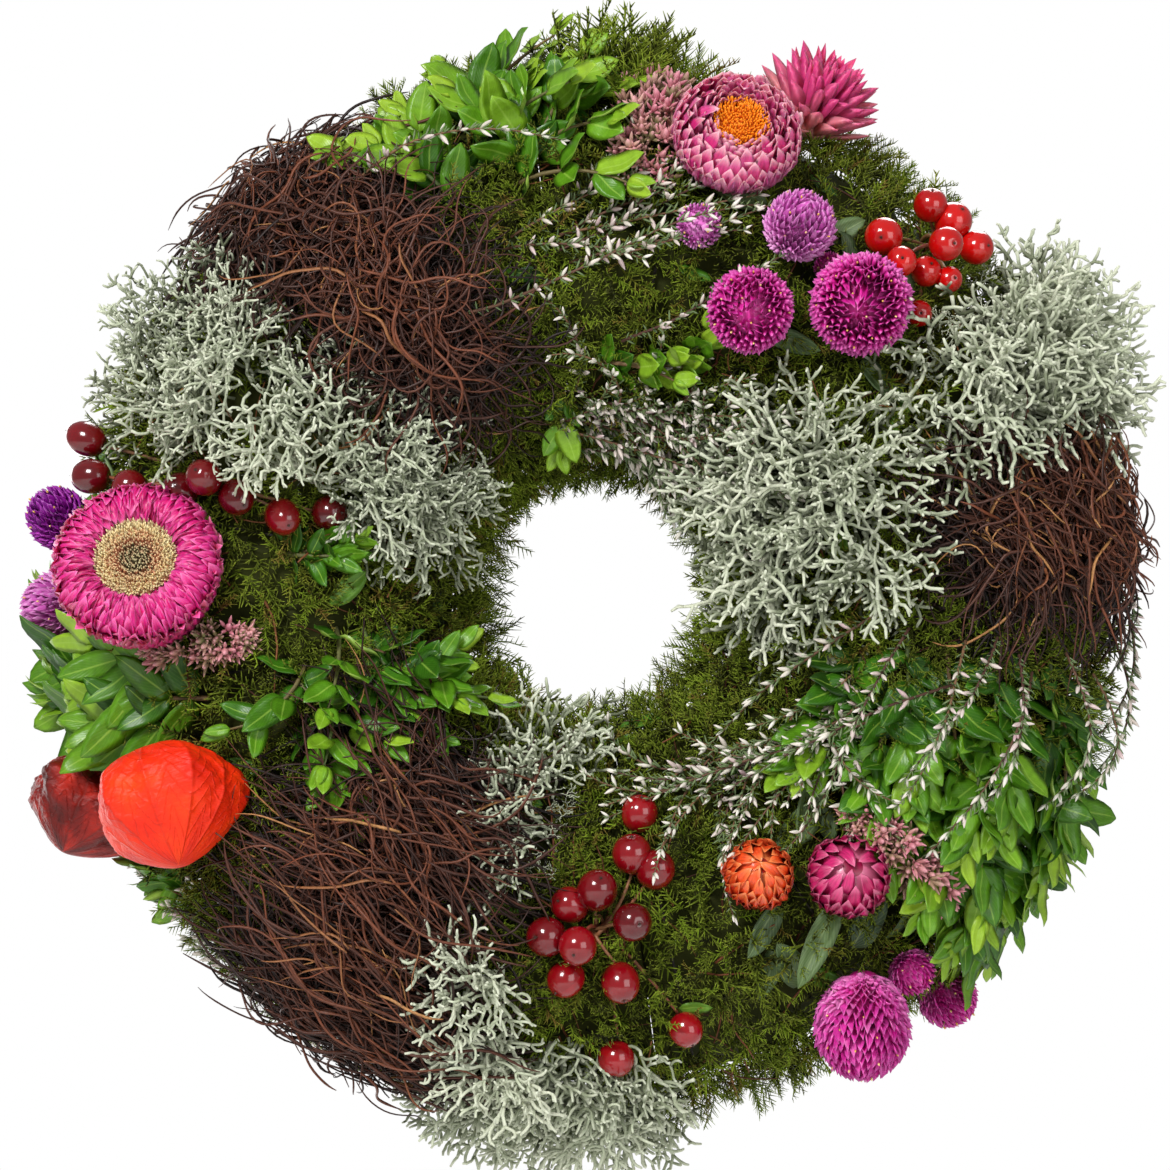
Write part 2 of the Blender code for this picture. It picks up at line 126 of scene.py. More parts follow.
class Mesh:
    """Points and faces collected for one piece. Faces carry UVs laid in the columns of a palette."""

    def __init__(self):
        self.points = []
        self.faces = []
        self.count = 0

    def add(self, points, groups, columns, material=0):
        """Add copies: points (copies, n, 3), groups of (index (m, k), uv (m, k, 2)), columns (copies)."""
        copies, size = points.shape[:2]
        self.points.append(points.reshape(-1, 3))
        start = self.count + np.arange(copies) * size
        for index, uv in groups:
            laid = np.broadcast_to(uv, (copies, *uv.shape)).copy()
            if columns is not None:
                laid[..., 0] = (columns[:, None, None] + np.clip(laid[..., 0], 0.02, 0.98)) / COLUMNS
            faces = index[None] + start[:, None, None]
            k = index.shape[1]
            self.faces.append((faces.reshape(-1, k), laid.reshape(-1, k, 2), material))
        self.count += copies * size

    def make(self, name, materials, nodes=(), body=BODY, pressed=True):
        """The finished piece. A pressed one is flattened where it reaches the door behind."""
        mesh = bpy.data.meshes.new(name)
        points = np.concatenate(self.points).astype(np.float32)
        if pressed:
            past = points[:, 1] + DOOR_GAP
            points[:, 1] = np.where(past > 0, past * 0.2 - DOOR_GAP, points[:, 1])
        loops = np.concatenate([f.ravel() for f, _, _ in self.faces]).astype(np.int32)
        sizes = np.concatenate([np.full(len(f), f.shape[1]) for f, _, _ in self.faces])
        slots = np.concatenate([np.full(len(f), m) for f, _, m in self.faces])
        uvs = np.concatenate([u.reshape(-1, 2) for _, u, _ in self.faces]).astype(np.float32)
        mesh.vertices.add(len(points))
        mesh.vertices.foreach_set("co", points.ravel())
        mesh.loops.add(len(loops))
        mesh.loops.foreach_set("vertex_index", loops)
        mesh.polygons.add(len(sizes))
        mesh.polygons.foreach_set("loop_start",
                                  np.concatenate([[0], np.cumsum(sizes)[:-1]]).astype(np.int32))
        mesh.polygons.foreach_set("loop_total", sizes.astype(np.int32))
        mesh.polygons.foreach_set("material_index", slots.astype(np.int32))
        mesh.polygons.foreach_set("use_smooth", np.full(len(sizes), True))
        layer = mesh.uv_layers.new(name="OFBake")
        layer.data.foreach_set("uv", uvs.ravel())
        mesh.update(calc_edges=True)
        for material in materials:
            mesh.materials.append(material)
        piece = bpy.data.objects.new(name, mesh)
        bpy.context.scene.collection.objects.link(piece)
        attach(piece, body)
        if nodes:
            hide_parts(*nodes)
        return piece


def ring_faces(rows, sides, closed=True):
    """Quads of a grid of rows by sides, with UV across in U and along in V."""
    i, s = np.meshgrid(np.arange(rows - 1), np.arange(sides if closed else sides - 1), indexing="ij")
    i, s = i.ravel(), s.ravel()
    t = (s + 1) % sides
    index = np.stack([i * sides + s, i * sides + t, (i + 1) * sides + t, (i + 1) * sides + s], -1)
    across = sides if closed else sides - 1
    u0, u1 = s / across, (s + 1) / across
    v0, v1 = i / (rows - 1), (i + 1) / (rows - 1)
    return index, np.stack([np.stack([u0, v0], -1), np.stack([u1, v0], -1),
                            np.stack([u1, v1], -1), np.stack([u0, v1], -1)], 1)


def tubes(mesh, paths, radii, sides, columns, material=0):
    """Round strands along paths (strands, n, 3) with radii (strands, n), closed at both ends."""
    strands, n = paths.shape[:2]
    radii = np.broadcast_to(radii, (strands, n))
    along = unit(np.gradient(paths, axis=1))
    side = np.eye(3)[np.argmin(abs(along.mean(1)), axis=1)]
    frames = []
    for i in range(n):
        side = unit(side - (side * along[:, i]).sum(-1, keepdims=True) * along[:, i])
        frames.append(side)
    x = np.stack(frames, 1)
    y = np.cross(along, x)
    turn = np.arange(sides) * math.tau / sides
    ring = (x[:, :, None] * np.cos(turn)[:, None] + y[:, :, None] * np.sin(turn)[:, None])
    points = paths[:, :, None] + ring * radii[:, :, None, None]
    body, uv = ring_faces(n, sides)
    mesh.add(points.reshape(strands, n * sides, 3), [(body, uv), end_caps(n, sides)], columns, material)


def end_caps(rows, sides, low=0.02, high=0.98):
    """The two end faces of a grid of rows by sides, with the V of each end."""
    index = np.stack([np.arange(sides)[::-1], np.arange(sides) + (rows - 1) * sides])
    uv = np.full((2, sides, 2), 0.5)
    uv[0, :, 1], uv[1, :, 1] = low, high
    return index, uv


class Shape:
    """A small mesh that is copied many times: points (n, 3) and its face groups."""

    def __init__(self, points, groups):
        self.points = points
        self.groups = groups


def scatter(mesh, shape, places, frames, scales, columns, material=0):
    """Copies of a shape: frames (copies, 3, 3) hold the X, Y and Z directions as rows."""
    scales = np.asarray(scales, float)
    if scales.ndim == 1:
        scales = np.repeat(scales[:, None], 3, 1)
    local = shape.points[None] * scales[:, None]
    points = places[:, None] + np.einsum("cnk,ckj->cnj", local, frames)
    mesh.add(points, shape.groups, columns, material)


def scatter_by(mesh, shapes, which, places, frames, scales, columns, material=0):
    """Copies of several shapes: which holds the number of the shape at each place."""
    for number, shape in enumerate(shapes):
        pick = which == number
        scatter(mesh, shape, places[pick], frames[pick], scales[pick], columns[pick], material)


def aim(forward, up):
    """Frames whose Y runs forward and whose Z leans towards up."""
    y = unit(forward)
    x = unit(np.cross(y, up))
    return np.stack([x, y, np.cross(x, y)], 1)


def spin_frames(frames, angle):
    """Turn frames about their Y by angle (radians)."""
    c, s = np.cos(angle)[:, None], np.sin(angle)[:, None]
    x, y, z = frames[:, 0], frames[:, 1], frames[:, 2]
    return np.stack([x * c + z * s, y, z * c - x * s], 1)


def blade(rows, half_width, bend, fold, thick, top_sides=5):
    """A leaf or petal of length 1 along Y: a closed thin shell with a paler underside."""
    s = np.linspace(0, 1, rows)
    w = half_width(s)
    xs = np.linspace(-1, 1, top_sides)
    top = np.stack(np.broadcast_arrays(w[:, None] * xs, s[:, None],
                                       bend(s)[:, None] + fold * w[:, None] * abs(xs)), -1)
    under = np.stack([0 * s, s, bend(s) - thick * w / max(w.max(), 1e-6)], -1)[:, None]
    grid = np.concatenate([top, under], 1)
    size = top_sides + 1
    groups = []
    for low, high, part in ((0.0, 0.7, list(range(top_sides))), (0.7, 1.0, [top_sides - 1, top_sides, 0])):
        for a, b in zip(part, part[1:]):
            ua = low + (high - low) * part.index(a) / (len(part) - 1)
            ub = low + (high - low) * part.index(b) / (len(part) - 1)
            i = np.arange(rows - 1)
            index = np.stack([i * size + a, i * size + b, (i + 1) * size + b, (i + 1) * size + a], -1)
            v0, v1 = i / (rows - 1), (i + 1) / (rows - 1)
            uv = np.stack([np.stack([0 * v0 + ua, v0], -1), np.stack([0 * v0 + ub, v0], -1),
                           np.stack([0 * v0 + ub, v1], -1), np.stack([0 * v0 + ua, v1], -1)], 1)
            groups.append((index, uv))
    caps = np.stack([np.arange(size)[::-1], np.arange(size) + (rows - 1) * size])
    cap_uv = np.full((2, size, 2), 0.35)
    cap_uv[0, :, 1], cap_uv[1, :, 1] = 0.02, 0.98
    groups.append((caps, cap_uv))
    return Shape(grid.reshape(-1, 3), groups)


def pod(rows, sides, radius, bend=0.0):
    """A closed round bud of length 1 along Y with radius as a function of the length."""
    s = np.linspace(0, 1, rows)
    turn = np.arange(sides) * math.tau / sides
    r = radius(s)
    points = np.stack(np.broadcast_arrays(r[:, None] * np.cos(turn), s[:, None],
                                          -r[:, None] * np.sin(turn) + bend * s[:, None] ** 2), -1)
    body, uv = ring_faces(rows, sides)
    return Shape(points.reshape(-1, 3), [(body, uv), end_caps(rows, sides)])


def shape_of(mesh):
    """A shape from what a Mesh has collected with columns of None."""
    sizes = {}
    for index, uv, _ in mesh.faces:
        sizes.setdefault(index.shape[1], []).append((index, uv))
    joined = [(np.concatenate([i for i, _ in g]), np.concatenate([u for _, u in g]))
              for g in sizes.values()]
    return Shape(np.concatenate(mesh.points), joined)


# ---------------------------------------------------------------- materials

class Finish:
    """A material whose colour comes from the palette column (variation) and the place in it."""

    def __init__(self, name, first=0, count=COLUMNS, roughness=0.6, **sockets):
        self.first, self.count = first, count
        self.material = bpy.data.materials.new(name)
        self.material.use_nodes = True
        self.tree = self.material.node_tree
        self.shader = self.tree.nodes["Principled BSDF"]
        self.shader.inputs["Roughness"].default_value = roughness
        for socket, value in sockets.items():
            self.shader.inputs[socket.replace("_", " ")].default_value = value
        uv = self.tree.nodes.new("ShaderNodeUVMap")
        uv.uv_map = "OFBake"
        self.uv = uv.outputs[0]
        split = self.tree.nodes.new("ShaderNodeSeparateXYZ")
        self.link(self.uv, split.inputs[0])
        scaled = self.math("MULTIPLY", split.outputs[0], COLUMNS)
        column = self.math("FLOOR", scaled)
        self.cross = self.math("SUBTRACT", scaled, column)
        self.along = split.outputs[1]
        self.variation = self.math("DIVIDE", self.math("SUBTRACT", column, float(first)),
                                   float(max(count - 1, 1)))

    def link(self, out, into):
        """Join an output to an input."""
        self.tree.links.new(out, into)

    def feed(self, socket, value):
        """Give an input a number, a colour or another node's output."""
        if isinstance(value, (int, float)):
            socket.default_value = value
        elif isinstance(value, tuple):
            socket.default_value = (*value, 1.0) if len(value) == 3 else value
        else:
            self.link(value, socket)

    def math(self, operation, a, b=None, clamp=False):
        """The output of a math node."""
        node = self.tree.nodes.new("ShaderNodeMath")
        node.operation = operation
        node.use_clamp = clamp
        self.feed(node.inputs[0], a)
        if b is not None:
            self.feed(node.inputs[1], b)
        return node.outputs[0]

    def ramp(self, value, stops):
        """The colour at value between stops (position, linear colour)."""
        node = self.tree.nodes.new("ShaderNodeValToRGB")
        self.feed(node.inputs[0], value)
        ramp = node.color_ramp
        ramp.elements[0].position, ramp.elements[0].color = stops[0][0], (*stops[0][1], 1.0)
        ramp.elements[1].position, ramp.elements[1].color = stops[-1][0], (*stops[-1][1], 1.0)
        for position, color in stops[1:-1]:
            ramp.elements.new(position).color = (*color, 1.0)
        return node.outputs[0]

    def mix(self, factor, a, b, blend="MIX"):
        """Two colours mixed by a factor."""
        node = self.tree.nodes.new("ShaderNodeMix")
        node.data_type = "RGBA"
        node.blend_type = blend
        self.feed(node.inputs["Factor"], factor)
        self.feed(node.inputs[6], a)
        self.feed(node.inputs[7], b)
        return node.outputs[2]

    def noise(self, scale, stretch=(1.0, 1.0), detail=3.0):
        """Noise laid out across and along each palette column."""
        mapping = self.tree.nodes.new("ShaderNodeMapping")
        self.link(self.uv, mapping.inputs[0])
        mapping.inputs["Scale"].default_value = (COLUMNS * stretch[0], stretch[1], 1.0)
        node = self.tree.nodes.new("ShaderNodeTexNoise")
        node.inputs["Scale"].default_value = scale
        node.inputs["Detail"].default_value = detail
        self.link(mapping.outputs[0], node.inputs[0])
        return node.outputs[0]

    def color(self, value):
        """Set the base colour."""
        self.feed(self.shader.inputs["Base Color"], value)
        return self

    def bump(self, height, strength, distance=0.0003):
        """Small relief from a height."""
        node = self.tree.nodes.new("ShaderNodeBump")
        node.inputs["Strength"].default_value = strength
        node.inputs["Distance"].default_value = distance
        self.link(height, node.inputs["Height"])
        self.link(node.outputs[0], self.shader.inputs["Normal"])
        return self

    def pick(self, rng, value):
        """Columns for variation values from 0 to 1. One draw per value keeps later draws in their order."""
        value = np.asarray(value, float)
        rng.random(value.shape)
        return self.first + np.clip((value * self.count).astype(int), 0, self.count - 1)


def strand_finish(name, stops, tip, roughness=0.7, first=0, count=COLUMNS, tip_from=0.55, mottling=0.5,
                  **sockets):
    """Stems, roots and needles: palette colour, changing towards the tip, with fine mottling."""
    f = Finish(name, first, count, roughness, **sockets)
    base = f.ramp(f.variation, stops)
    grain = f.noise(3.0, (1.0, 9.0))
    shade = f.mix(mottling, base, f.ramp(grain, [(0.3, (0.25, 0.25, 0.25)), (0.7, (1.0, 1.0, 1.0))]),
                  "MULTIPLY")
    if tip is not None:
        fade = f.math("SUBTRACT", f.along, tip_from)
        fade = f.math("DIVIDE", fade, max(1e-3, 1.0 - tip_from), clamp=True)
        shade = f.mix(f.math("MULTIPLY", fade, 0.8), shade, tip)
    return f.color(shade).bump(grain, 0.3, 0.0002)


def leaf_finish(name, top, under, rib, roughness, first=0, count=COLUMNS, veins=0.25, **sockets):
    """Leaves: palette colour above, one colour below, a pale midrib and faint veins."""
    f = Finish(name, first, count, roughness, **sockets)
    base = f.ramp(f.variation, top)
    grain = f.noise(2.2, (1.2, 4.0), 4.0)
    base = f.mix(0.45, base, f.ramp(grain, [(0.3, (0.45, 0.45, 0.45)), (0.7, (1.0, 1.0, 1.0))]), "MULTIPLY")
    off = f.math("ABSOLUTE", f.math("SUBTRACT", f.cross, 0.35))
    slant = f.math("SUBTRACT", f.math("MULTIPLY", f.along, 11.0), f.math("MULTIPLY", off, 14.0))
    vein = f.math("POWER", f.math("ABSOLUTE", f.math("SINE", f.math("MULTIPLY", slant, math.pi))), 14.0)
    base = f.mix(f.math("MULTIPLY", vein, veins), base, rib)
    midrib = f.math("SUBTRACT", 1.0, f.math("DIVIDE", off, 0.035), clamp=True)
    edge = f.math("MULTIPLY", f.math("SUBTRACT", off, 0.325), 40.0, clamp=True)
    base = f.mix(f.math("MULTIPLY", midrib, 0.6), base, rib)
    base = f.mix(f.math("MULTIPLY", edge, 0.3), base, rib)
    back = f.math("GREATER_THAN", f.cross, 0.7)
    base = f.mix(back, base, under)
    return f.color(base).bump(f.math("ADD", f.math("MULTIPLY", vein, -0.4), grain), 0.25, 0.0002)


def petal_finish(name, body, base_color, tip_color, roughness=0.45, first=0, count=COLUMNS, stripe=0.5,
                 **sockets):
    """Papery petals: palette colour with a base tint, a tip tint and fine lengthwise stripes."""
    f = Finish(name, first, count, roughness, **sockets)
    color = f.ramp(f.variation, body)
    lines = f.noise(5.0, (2.2, 0.6), 2.0)
    color = f.mix(stripe, color, f.ramp(lines, [(0.35, (0.45, 0.45, 0.45)), (0.6, (1.0, 1.0, 1.0))]),
                  "MULTIPLY")
    low = f.math("SUBTRACT", 1.0, f.math("DIVIDE", f.along, 0.4), clamp=True)
    high = f.math("DIVIDE", f.math("SUBTRACT", f.along, 0.72), 0.28, clamp=True)
    color = f.mix(f.math("MULTIPLY", low, 0.85), color, base_color)
    color = f.mix(f.math("MULTIPLY", high, 0.7), color, tip_color)
    return f.color(color).bump(lines, 0.4, 0.0002)


# ---------------------------------------------------------------- places read from the CAD

def vertices_of(node):
    """The vertices (n, 3) of a CAD node."""
    mesh = frame["nodes"][node].data
    points = np.empty(len(mesh.vertices) * 3)
    mesh.vertices.foreach_get("co", points)
    return points.reshape(-1, 3)


class Patch:
    """The footprint of a plant pad: centre, half spans, lean and height, read from its solid."""

    def __init__(self, node):
        clock, around, lift = locate(vertices_of(node))
        middle = clock[np.argmax(lift)]
        clock = (clock - middle + 180.0) % 360.0 - 180.0
        self.around = (around.max() + around.min()) / 2
        self.around_half = (around.max() - around.min()) / 2
        q = (around - self.around) / self.around_half
        self.lean = float((clock * q).sum() / (q * q).sum())
        self.clock_half = abs(clock - self.lean * q).max()
        self.clock = middle
        self.high = lift.max()

    def holds(self, clock, around, reach=1.0):
        """Whether places lie within the footprint, scaled by reach."""
        q = (around - self.around) / self.around_half
        p = ((clock - self.clock - self.lean * q + 180.0) % 360.0 - 180.0) / self.clock_half
        return p ** 2 + q ** 2 < reach ** 2

    def sample(self, rng, count, reach=1.0):
        """Random places in the footprint: clock, around and the share of the way to its edge."""
        turn = rng.random(count) * math.tau
        share = np.sqrt(rng.random(count))
        p = share * np.sign(np.cos(turn)) * abs(np.cos(turn)) ** 0.7 * reach
        q = share * np.sign(np.sin(turn)) * abs(np.sin(turn)) ** 0.7 * reach
        return (self.clock + self.clock_half * p + self.lean * q, self.around + self.around_half * q, share)


class Stalk:
    """The axis of a flower head: where it stands on the moss, its frame, radius and lifts."""

    def __init__(self, node, face=0.0, grow=1.0, toward=(0.0, -1.0, 0.0)):
        """Face turns the head from the moss's outward direction (0) towards another (1)."""
        points = vertices_of(node)
        _, _, lift = locate(points)
        above = points[lift > HEAD_FROM]
        centre = above.mean(0)
        clock, around, _ = locate(centre[None])
        self.clock, self.around = float(clock[0]), float(around[0])
        self.foot = on_moss(self.clock, self.around, 0.0)
        self.axis = unit(on_moss(self.clock, self.around, 0.01) - self.foot)
        height = (points - self.foot) @ self.axis
        off = np.linalg.norm(points - self.foot - height[:, None] * self.axis, axis=1)
        self.radius = off.max()
        self.top = height.max()
        self.bottom = height[off > PIN_RADIUS].min()
        self.root = self.foot - 5 * MM * self.axis
        self.knee = self.foot + 2 * MM * self.axis
        middle = self.foot + self.axis * (self.top + self.bottom) / 2
        self.axis = unit(self.axis * (1 - face) + unit(np.array(toward)) * face)
        self.foot = middle - self.axis * (self.top + self.bottom) / 2
        spread = (grow - 1) * (self.top - self.bottom) / 2
        self.radius *= grow
        self.top += spread
        self.bottom -= spread
        self.side = unit(np.cross(np.array([0, -1.0, 0.01]), self.axis))
        self.up = np.cross(self.axis, self.side)

    def at(self, across, turn, height):
        """Points at a distance from the axis, an angle round it and a height above the moss."""
        x, y = np.cos(turn), np.sin(turn)
        ring = x[..., None] * self.side + y[..., None] * self.up
        out = ring * np.asarray(across)[..., None]
        return self.foot + out + np.asarray(height)[..., None] * self.axis, ring



# ---------------------------------------------------------------- growing over the moss

def axes_at(clock, around):
    """Outward, clockwise and backward directions of the moss at clock and around (degrees)."""
    turn, tilt = np.radians(clock), np.radians(around)
    zero = 0 * turn * tilt
    outward = np.stack([np.sin(tilt) * np.sin(turn), zero - np.cos(tilt), np.sin(tilt) * np.cos(turn)], -1)
    clockwise = np.stack([zero + np.cos(turn), zero, zero - np.sin(turn)], -1)
    backward = np.stack([np.cos(tilt) * np.sin(turn), zero + np.sin(tilt), np.cos(tilt) * np.cos(turn)], -1)
    return outward, clockwise, backward


def creep(clock, around, heading, length, lifts, bends, edge=82.0):
    """Paths that grow over the moss: (strands, n, 3). Headings are degrees in the front view, from +X
    towards +Z, and bends (strands, n - 1) turn them, in degrees, at each step."""
    n = lifts.shape[1]
    point = on_moss(clock, around, lifts[:, 0])
    angle = np.radians(heading)
    front = np.stack([np.cos(angle), 0 * angle, np.sin(angle)], -1)
    outward, _, backward = axes_at(clock, around)
    way = front - (front * outward).sum(-1, keepdims=True) * outward
    way = unit(way + 0.15 * backward * (front * backward).sum(-1, keepdims=True))
    step = (length / (n - 1))[:, None]
    path = [point]
    for i in range(1, n):
        turn = np.radians(bends[:, i - 1])[:, None]
        across = np.cross(outward, way)
        way = unit(way * np.cos(turn) + across * np.sin(turn))
        free = point + way * step
        clock_now, around_now, _ = locate(free)
        held = on_moss(clock_now, np.clip(around_now, -edge, edge), lifts[:, i])
        stays = (abs(around_now) < edge)[:, None]
        free[:, 1] = np.minimum(free[:, 1], -DOOR_GAP)
        following = np.where(stays, held, free)
        way_held = unit(following - point)
        outward, _, _ = axes_at(clock_now, np.clip(around_now, -edge, edge))
        flat = way_held - (way_held * outward).sum(-1, keepdims=True) * outward
        way = np.where(stays, unit(flat), way)
        point = following
        path.append(point)
    return np.stack(path, 1)


def stations(paths, shares):
    """Points and directions at shares (0 to 1) along every path."""
    n = paths.shape[1]
    f = np.clip(np.asarray(shares) * (n - 1), 0, n - 1.001)
    i = f.astype(int)
    w = (f - i)[None, :, None]
    return paths[:, i] * (1 - w) + paths[:, i + 1] * w, unit(paths[:, i + 1] - paths[:, i])


def leafy(mesh, rng, paths, shapes, finish, pairs, size, spread=(60, 25), start=0.12,
          material=0, tone=(0.2, 0.8), roll=40.0, raise_by=10.0, jitter=12.0, taper=(0.8, 1.0, 0.6)):
    """Pairs of opposite leaves along stems. Tone runs from the palette's start to its end."""
    shares = np.linspace(start, 1.0, pairs)
    places, along = stations(paths, shares)
    k = len(paths)
    normal = normal_at(places)
    side = unit(np.cross(along, normal))
    up = np.cross(side, along)
    for hand in (-1.0, 1.0):
        opening = np.radians(np.interp(shares, [0, 1], spread) + rng.normal(0, jitter, (k, pairs)))
        lean = np.where(np.arange(pairs) % 2, roll, raise_by) + rng.normal(0, 15.0, (k, pairs))
        lean = np.radians(lean)
        out = side * (hand * np.cos(lean))[..., None] + up * np.sin(lean)[..., None]
        way = along * np.cos(opening)[..., None] + out * np.sin(opening)[..., None]
        top = up + along * -0.3 + rng.normal(0, 0.25, places.shape)
        frames = aim(way.reshape(-1, 3), top.reshape(-1, 3))
        scale = size * np.interp(shares, [0, 0.5, 1], taper) * (0.8 + 0.4 * rng.random((k, pairs)))
        scale = scale.ravel()
        value = np.interp(shares, [0, 1], tone) + rng.normal(0, 0.12, (k, pairs))
        columns = finish.pick(rng, np.clip(value, 0, 0.999).ravel())
        which = rng.integers(0, len(shapes), k * pairs)
        scatter_by(mesh, shapes, which, places.reshape(-1, 3), frames, scale, columns, material)


def sprig_paths(rng, patch, count, heading, spread, length, lift=(2.0, 9.0), bend=30.0, n=9, reach=0.9):
    """Stems rooted in a patch, heading the same way within a spread. Lengths and lifts in mm."""
    clock, around, _ = patch.sample(rng, count, reach)
    heading = heading + rng.uniform(-spread, spread, count)
    lengths = length * (0.7 + 0.6 * rng.random(count)) * MM
    s = np.linspace(0, 1, n)
    rise = lift[0] + (lift[1] - lift[0]) * (0.5 + rng.random((count, 1))) * s ** 0.7
    bends = np.repeat(rng.normal(0, bend, (count, 1)), n - 1, 1) / (n - 1)
    return creep(clock, around, heading, lengths, rise * MM, bends)


# ---------------------------------------------------------------- moss and straw

def frond(rng, branchlets=16, stout=0.024, sway=0.16):
    """A feathery moss frond of length 1 along Y, arching towards +Z. Stout is its radius at the foot."""
    part = Mesh()
    s = np.linspace(0, 1, 5)
    side_bend = rng.normal(0, sway)
    stem = np.stack([side_bend * s ** 2, s, 0.3 * s - 0.4 * s ** 2], -1)
    tubes(part, stem[None], np.linspace(stout, stout / 2, 5)[None], 3, None)
    t = np.linspace(0.08, 0.98, branchlets)
    hand = np.where(np.arange(branchlets) % 2, 1.0, -1.0)
    root = np.stack([np.interp(t, s, stem[:, 0]), np.interp(t, s, stem[:, 1]),
                     np.interp(t, s, stem[:, 2])], -1)
    reach = 0.27 * np.sin(np.pi * np.clip(0.15 + 0.75 * t, 0, 1)) * (0.75 + 0.5 * rng.random(branchlets))
    angle = np.radians(rng.normal(52, 9, branchlets)) * (1.1 - 0.6 * t)
    way = np.stack([hand * np.sin(angle), np.cos(angle), rng.normal(0.3, 0.45, branchlets)], -1)
    tips = root + unit(way) * reach[:, None]
    tubes(part, np.stack([root, tips], 1), np.array([[stout, stout / 4]]), 3, None)
    return shape_of(part)


def moss_finish():
    """Moss greens from dark to yellow, browner in the last column, paler at the tips."""
    f = Finish("feathery_moss", 0, COLUMNS, 0.8, Specular_IOR_Level=0.2)
    body = f.ramp(f.variation, tones((0.0, 28, 30, 8), (0.3, 64, 70, 16), (0.6, 96, 112, 24),
                                     (0.9, 132, 160, 36), (1.0, 126, 104, 44)))
    grain = f.noise(4.0, (1.0, 6.0))
    body = f.mix(0.5, body, f.ramp(grain, [(0.3, (0.35, 0.35, 0.35)), (0.7, (1, 1, 1))]), "MULTIPLY")
    tip = f.math("MULTIPLY", f.math("SUBTRACT", f.along, 0.45), 1.6, clamp=True)
    body = f.mix(f.math("MULTIPLY", tip, 0.55), body, srgb(168, 184, 60))
    return f.color(body).bump(grain, 0.4, 0.0002)


def shell_of_moss(mesh, rng, clock_low, clock_high, columns, gap=0.6 * MM):
    """The dark matted mass under the fronds: a lumpy closed body over the straw."""
    rows, across = 46, 66
    clock = np.linspace(clock_low, clock_high, rows)[:, None]
    around = np.linspace(-88.5, 88.5, across)[None, :]
    lump = (np.sin(clock * 1.9) * np.sin(around * 0.16 + clock) + np.sin(clock * 0.83 + around * 0.27)
            + rng.normal(0, 0.6, (rows, across)))
    outer = on_moss(clock, around, (lump * 0.7 - 1.6) * MM)
    turn, tilt = np.radians(clock), np.radians(around[:, ::-1])
    radius = RING + (STRAW_HALF + gap) * np.sin(tilt)
    inner = np.stack(np.broadcast_arrays(radius * np.sin(turn), -(STRAW_DEPTH + gap) * np.cos(tilt),
                                         CENTRE_Z + radius * np.cos(turn)), -1)
    share = np.linspace(0, 1, 8)[1:-1][None, :, None]

    def edge(a, b):
        """Rows of points along the back between two edges, with an uneven depth."""
        flat = a[:, None] * (1 - share) + b[:, None] * share
        flat[..., 1] += rng.uniform(-1.6, 0.9, flat.shape[:2]) * MM
        return flat
    section = np.concatenate([outer, edge(outer[:, -1], inner[:, 0]), inner,
                              edge(inner[:, -1], outer[:, 0])], 1)
    across = section.shape[1] // 2
    body, uv = ring_faces(rows, 2 * across)
    body = body[:, ::-1]
    uv = uv[:, ::-1]
    uv = np.stack([uv[..., 0], 0.4 * uv[..., 1]], -1)
    ends = np.stack([np.arange(2 * across), (np.arange(2 * across) + (rows - 1) * 2 * across)[::-1]])
    end_uv = np.full((2, 2 * across, 2), 0.2)
    mesh.add(section.reshape(1, -1, 3), [(body, uv), (ends, end_uv)], columns)


def spread_shapes(mesh, rng, shapes, places, frames, scales, columns, material=0):
    """Copies of several shapes, each place with one of them at random."""
    which = rng.integers(0, len(shapes), len(places))
    scatter_by(mesh, shapes, which, places, frames, scales, columns, material)


def moss_layer(mesh, rng, finish, fronds, clock, around, lift, rise, size, tone):
    """Fronds standing on the moss. Lift and size in mm and rise in degrees, each as (least, most)."""
    count = len(clock)
    places = on_moss(clock, around, rng.uniform(*lift, count) * MM)
    outward, clockwise, backward = axes_at(clock, around)
    turn = rng.uniform(0, math.tau, count)
    flat = clockwise * np.cos(turn)[:, None] + backward * np.sin(turn)[:, None]
    flat += backward * (np.sign(around) * (abs(around) > 45) * 0.8)[:, None]
    slope = np.tan(np.radians(rng.uniform(*rise, count)))[:, None]
    frames = spin_frames(aim(unit(flat) + outward * slope, outward), rng.normal(0, 0.7, count))
    spread_shapes(mesh, rng, fronds, places, frames, rng.uniform(*size, count) * MM,
                  finish.pick(rng, np.clip(rng.normal(tone, 0.22, count), 0, 0.999)))


